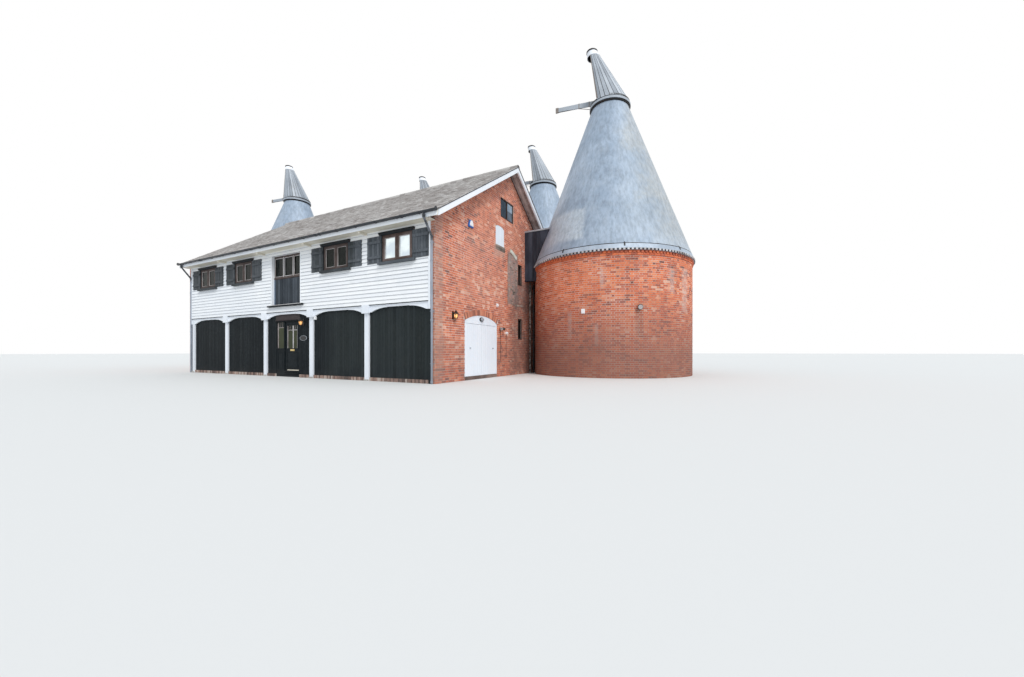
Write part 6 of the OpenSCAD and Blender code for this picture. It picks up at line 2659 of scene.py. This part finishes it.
    def build(self) -> None:
        """Builds the sheets, the band and the curb."""
        rng = np.random.default_rng(300 + self.number)
        (foot_r, top_r), seam, seam_r = CONE_R, self.seam, self.seam_r
        lift = self.overlap
        self.skin("sheets", (seam_r - lift * CONE_LEAN, seam + lift, 0.006),
                  (top_r + 0.004, CONE_TOP - self.head_gap, 0.006), self.rows, 0.0025, rng, CONE_SHEET)
        self.skin("band", (foot_r - 0.01, EAVES + self.foot_gap, 0.022), (seam_r, seam, 0.012), 2, 0.002,
                  rng, CONE_BAND)
        self.iron()
        cap = Form(f"curb_{self.number}_band")
        cap.turned(self.cap, (self.x0, self.y0, CURB_TOP), self.curb_sides, tone=0.8, caps=False)
        cap.build(COWL_BOARD, "cone_sheet", rounded=True)
        self.shade_and_dentils(rng)


@dataclass
class Cowl:
    """One turning cowl: tapered boards round a leaning cone, its collar, cap and finger board."""

    number: int
    turn: float = 9.0
    boards: int = 19
    rows: int = 6
    foot_r: float = 0.88
    top_r: float = 0.215
    lean: float = 0.80
    height: float = 2.70
    collar: float = 0.26
    ring: float = 0.09
    hoop_out: float = 0.018
    foot_side: float = 0.52
    top_side: float = 0.13
    foot: float = CURB_TOP + 0.012
    hoop_sides: int = 40
    top_sides: int = 32
    finger_t: float = 0.027
    cleat_out: float = 0.007
    cleat_z: Span = (0.238, 0.464)
    finger: tuple[Span, ...] = ((-2.45, 0.262), (-1.30, 0.244), (-0.35, 0.240), (-0.35, 0.46), (-1.30, 0.456),
                                (-2.45, 0.446))
    cleats: tuple[Span, ...] = ((-2.497, -2.36), (-1.42, -1.38), (-0.95, -0.91))

    def __post_init__(self) -> None:
        """Finds the axis, the body, and the share of the height where the collar starts."""
        self.axis = kiln(self.number).centre
        self.body = f"cowl_{self.number}"
        self.open_top = 1.0 - self.collar / self.height

    def form(self, part: str) -> Form:
        """Returns a new form for one part of this cowl."""
        return Form(f"cowl_{self.number}_{part}")

    def world(self, points: Array | Sequence) -> Array:
        """Turns the cowl's own points into places in the frame.

        Args:
            points: Points with z from the cowl's foot and the open side at -x.

        Returns:
            The places.
        """
        cos, sin = math.cos(math.radians(self.turn)), math.sin(math.radians(self.turn))
        (x0, y0), (x, y, z) = self.axis, np.moveaxis(np.asarray(points, float), -1, 0)
        return np.stack([x0 + x * cos - y * sin, y0 + x * sin + y * cos, self.foot + z], axis=-1)

    def radius(self, t: float) -> float:
        """Returns the cowl's radius at a share of its height."""
        return self.foot_r + t * (self.top_r - self.foot_r)

    def edge(self, t: float) -> float:
        """Gives the angle at which the open side starts.

        Args:
            t: Share of the height.

        Returns:
            The angle from the closed side, in radians.
        """
        low, high = -self.foot_side, -self.lean * self.open_top - self.top_side
        share = (t * self.height - self.ring) / (self.open_top * self.height - self.ring)
        x = low + share * (high - low)
        return np.arccos(np.clip((x + self.lean * t) / self.radius(t), -1, 1))

    def shell(self, angle: float | Array, t: float, out: float) -> Array:
        """Gives the cowl's own points on its boards.

        Args:
            angle: Their angle from the closed side.
            t: Their share of the height.
            out: How far they stand out.

        Returns:
            The points, before the cowl is turned.
        """
        reach = self.radius(t) + out
        return np.stack([reach * np.cos(angle) - self.lean * t, reach * np.sin(angle),
                         t * self.height + 0 * np.asarray(angle)], -1)

    def board(self, form: Form, corners: Sequence[Span], heights: Array, tone: float) -> None:
        """Adds one tapered board; a corner is a share of the angle to the open side, and a stand-out."""
        rings = [[self.shell(s * self.edge(t), t, d) for s, d in corners] for t in heights]
        form.loft(self.world(rings), tone)

    def shell_boards(self) -> None:
        """Nails the tapered boards."""
        rng = np.random.default_rng(400 + self.number)
        form = self.form("boards")
        heights = np.linspace(0.002, self.open_top, self.rows + 1)
        edges = np.linspace(-1, 1, self.boards + 1)
        for a, b in zip(edges[:-1], edges[1:]):
            gap = 0.07 * (b - a)
            out, back = 0.012 + rng.uniform(-0.002, 0.002), -0.002
            corners = ((a + gap, out), (b - gap, out), (b - gap, back), (a + gap, back))
            self.board(form, corners, heights, 0.20 + 0.80 * rng.random())
        form.build(COWL_BOARD, "cowl_boards", 0.0015, self.body)

    def hoop(self, form: Form, low: float, high: float, tone: float) -> None:
        """Adds a band right round the cowl between two heights.

        Args:
            form: Form that takes it.
            low: Its foot.
            high: Its head.
            tone: Its tone.
        """
        out = self.hoop_out
        steps = ((low, out - 0.014), (low, out), (high, out), (high, out - 0.014))
        rings = [self.shell(circle(self.hoop_sides), z / self.height, extra) for z, extra in steps]
        form.loft(self.world(rings), tone, caps=False)

    def trims(self) -> None:
        """Adds the edge boards, the foot hoop, the collar and the cap."""
        edge = self.form("edges")
        heights = np.linspace(self.ring / self.height, self.open_top, 9)
        side = ((0.965, 0.022), (1.0, 0.022), (1.0, -0.035), (0.965, -0.035))
        for corners in ([(-share, out) for share, out in side[::-1]], side):
            self.board(edge, corners, heights, 0.4)
        edge.build(COWL_EDGE, "cowl_boards", 0.002, self.body)
        collar = self.form("collar")
        self.hoop(collar, self.height - self.collar - 0.015, self.height - 0.03, 0.6)
        collar.build(WHITE_PAINT, "cowl_boards", body=self.body, rounded=True)
        iron = self.form("hoops")
        self.hoop(iron, 0.003, 0.024, 0.5)
        centre = self.world([-self.lean, 0.0, self.height])
        iron.turned(((0.236, -0.034), (0.252, -0.030), (0.254, 0.030), (0.240, 0.044), (0.236, 0.044)),
                    centre, self.top_sides, tone=0.2, caps=False)
        iron.build(IRON, "black_paint", body=self.body)
        cap = self.form("cap")
        cap.turned(((0.238, 0.039), (0.238, 0.046), (0.12, 0.058), (0.004, 0.062)), centre, self.top_sides)
        cap.build(COWL_BOARD, "cowl_boards", body=self.body, rounded=True)

    def fingers(self) -> None:
        """Fits the finger board with its end block, its cleats and its arm."""
        rings = [[(x, y, z) for x, z in self.finger] for y in (self.finger_t, -self.finger_t)]
        self.form("finger").loft(self.world(rings), 0.7).build(COWL_BOARD, "cowl_boards", 0.004, self.body)
        block = self.form("finger_end")
        half, (low, high) = self.finger_t + self.cleat_out, self.cleat_z
        for start, end in self.cleats:
            block.blocks(self.world(cuboids((start, -half, low), (end, half, high))), 0.6)
        block.tube(self.world([(-1.40, 0.0, 0.24), (-1.10, 0.0, 0.16), (-0.84, 0.0, 0.085)]), 0.014, 8)
        block.build(COWL_EDGE, "cowl_boards", 0.003, self.body)

    def build(self) -> None:
        """Builds the whole cowl."""
        self.shell_boards()
        self.trims()
        self.fingers()


# Links


@dataclass
class Links:
    """Tarred boards and lead roofs of the links between the barn and the kilns."""

    cheek_y: float = 1.525
    cheek_end: float = 8.40
    cheek_height: Span = (4.15, 6.335)
    board: float = 0.19
    board_out: float = 0.012
    rear_board: float = 0.17
    rear_out: float = 0.014
    lead_z: Span = (6.338, 6.404)
    roll_x: tuple[float, ...] = (7.45, 7.95, 8.4)
    roll_y: tuple[float, ...] = (1.50, 2.3, 3.2)
    cone_r: float = 3.49
    wall_r: float = 3.39
    half: float = 1.2
    top: float = 4.56
    rolls: tuple[float, ...] = (-1.9, -1, 0, 1, 1.9)
    roll_gap: float = 0.6
    roll_middle: float = 3.3
    roll_end: float = 3.45
    roll_z: float = 4.62

    def cheek(self) -> None:
        """Boards the front cheek of the first link up to the cone."""
        rng = np.random.default_rng(141)
        x0, y0 = kiln(1).centre
        away = y0 - self.cheek_y + self.board_out

        def ground(x: Array) -> Array:
            """Returns the least height clear of the kiln at places along the cheek."""
            reach = np.hypot(x0 - x, away)
            return np.where(reach > self.cone_r, 0.0, CONE_FOOT + (self.cone_r - reach) / CONE_LEAN)

        form = Form("link_cheek_boards")
        form.boards(front_plane(self.cheek_y), (BARN.right + 0.01, self.cheek_end), self.cheek_height,
                    self.board, self.board_out, rng, ground=ground)
        form.build(TARRED, "black_boards", 0.002)

    def lead_roof(self) -> None:
        """Dresses the lead roof of the first link with its rolls and its edge."""
        form = Form("link_lead")
        low, high = self.lead_z
        form.box((BARN.right + 0.005, 1.493, low), (8.46, 1.503, high), 0.7)
        for x in self.roll_x:
            form.tube([(x, y, high + 0.004) for y in self.roll_y], 0.018, 8, 0.8)
        form.build(LEAD, "lead")

    def rear(self) -> None:
        """Boards the sides of the other three links and rolls their lead."""
        rng = np.random.default_rng(143)
        boards, lead = Form("rear_link_boards"), Form("rear_link_lead")
        touch = math.sqrt((self.wall_r + 0.012) ** 2 - self.half ** 2)
        for number in KILNS[1:]:
            x0, y0 = kiln(number).centre
            if number < KILNS[-1]:
                start, end = BARN.rear + 0.008, y0 - touch
                planes = (Plane((x0 + self.half, 0.0, 0.0), ACROSS),
                          Plane((x0 - self.half, 0.0, 0.0), (0.0, -1.0, 0.0)))
                along = (start, (start + y0 - self.roll_middle) / 2, y0 - self.roll_end)
            else:
                start, end = x0 + touch, BARN.left - 0.008
                planes = (front_plane(y0 - self.half), Plane((0.0, y0 + self.half, 0.0), (-1.0, 0.0, 0.0)))
                along = (x0 + self.roll_end, (x0 + self.roll_middle + end) / 2, end)
            for plane, span in zip(planes, ((start, end), (-end, -start))):
                boards.boards(plane, span, (0.02, self.top - 0.01), self.rear_board, self.rear_out, rng,
                              0.006)
            for k in self.rolls:
                shift = k * self.roll_gap
                roll = [(x0 + shift, s, self.roll_z) if number < KILNS[-1] else (s, y0 + shift, self.roll_z)
                        for s in along]
                lead.tube(roll, 0.02, 8, 0.8)
        boards.build(TARRED, "black_boards", 0.002)
        lead.build(LEAD, "lead")

    def build(self) -> None:
        """Builds all the links' dressings."""
        self.cheek()
        self.lead_roof()
        self.rear()


# Kerb and pads


@dataclass
class FrontFoot:
    """Bricks on edge along the kerb, and grey pads round the posts' feet."""

    brick: float = 0.076
    brick_out: float = 0.009
    joint: float = 0.010
    brick_back: float = 0.06
    pad_half: float = POST_HALF + 0.004
    pad_h: float = 0.049

    def build(self) -> None:
        """Lays both."""
        low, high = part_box("front_kerb")
        rng = np.random.default_rng(151)
        form = Form("kerb_bricks")
        for span in bay_spans():
            form.boards(front_plane(low.y), span, (0.002, high.z + 0.004), self.brick, self.brick_out,
                        rng, self.joint, back=self.brick_back)
        form.build(KERB_BRICK, "brick", 0.002)
        pads = Form("post_pads")
        front, half = -BARN.rear, self.pad_half
        for x in POSTS:
            pads.box((x - half, front - 0.034, 0.0), (x + half, front - 0.001, self.pad_h), rng.random())
        pads.build(STONE, "concrete", 0.006)


# Dressing of CAD nodes


NODE_FINISHES: dict[Surface, tuple[str, ...]] = {
    STONE: ("barn_floor",),
    MORTAR: ("front_kerb", "rear_wall", "gable_wall_left", "gable_wall_right_piers", "gable_wall_right_upper",
             "gable_door_arch", "ridge_tiles"),
    FLOORING: ("upper_floor",),
    WHITE_PAINT: ("front_posts", "front_beam", "front_braces", "bargeboards", "gable_door_left",
                  "gable_door_right", "gable_door_frame", "gable_hatch"),
    BLACK_BOARD: ("front_boarding", "entry_frame", "front_door"),
    WEATHERBOARD: ("front_upper_wall",),
    BROWN_WOOD: ("entry_lintel", "window_frames", "gable_window_frames"),
    TILE: ("roof_front", "roof_rear"),
    CREAM_PAINT: ("eaves_boards",),
    GUTTER: ("gutters",),
    PIPE_PAINT: ("downpipes",),
    PANE: ("window_glass",),
    SHUTTER: ("window_shutters", "loading_bay"),
    TARRED: ("link_walls",),
    LEAD: ("link_roofs",),
    KILN_MORTAR: tuple(f"kiln_{i}_wall" for i in KILNS),
    CONE_SHEET: tuple(f"kiln_{i}_roof" for i in KILNS),
    COWL_INSIDE: tuple(f"cowl_{i}" for i in KILNS),
}
NODE_BEVELS = {
    "front_posts": 0.008, "front_beam": 0.005, "front_braces": 0.004, "bargeboards": 0.004,
    "eaves_boards": 0.004, "window_frames": 0.004, "loading_bay": 0.004, "entry_frame": 0.003,
}


def dress_nodes() -> None:
    """Gives every CAD node its finish, with round ones shaded smooth."""
    finishes = {name: finish for finish, names in NODE_FINISHES.items() for name in names}
    for name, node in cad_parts.items():
        node.data.materials.clear()
        node.data.materials.append(finishes[name].material(laid=False))
        if name.startswith("kiln") or name in ("gutters", "downpipes"):
            smooth(node.data, 30)
        if name in NODE_BEVELS:
            bevel(node, NODE_BEVELS[name])


def main() -> None:
    """Builds every sub-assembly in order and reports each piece."""
    logging.basicConfig(level=logging.INFO, format="%(message)s")
    Studio().build()
    dress_nodes()
    Gable().build()
    GablePatch().build()
    GableDoors().build()
    OtherWalls().build()
    for number in KILNS:
        KilnWall(number).build()
        KilnRoof(number).build()
        Cowl(number).build()
    Links().build()
    TiledRoof().build()
    Rainwater().build()
    Verges().build()
    TimberFront().build()
    FrontFoot().build()
    Windows().build()
    Shutters().build()
    LoadingBay().build()
    Entry().build()
    Fittings().build()


if __name__ == "__main__":
    main()
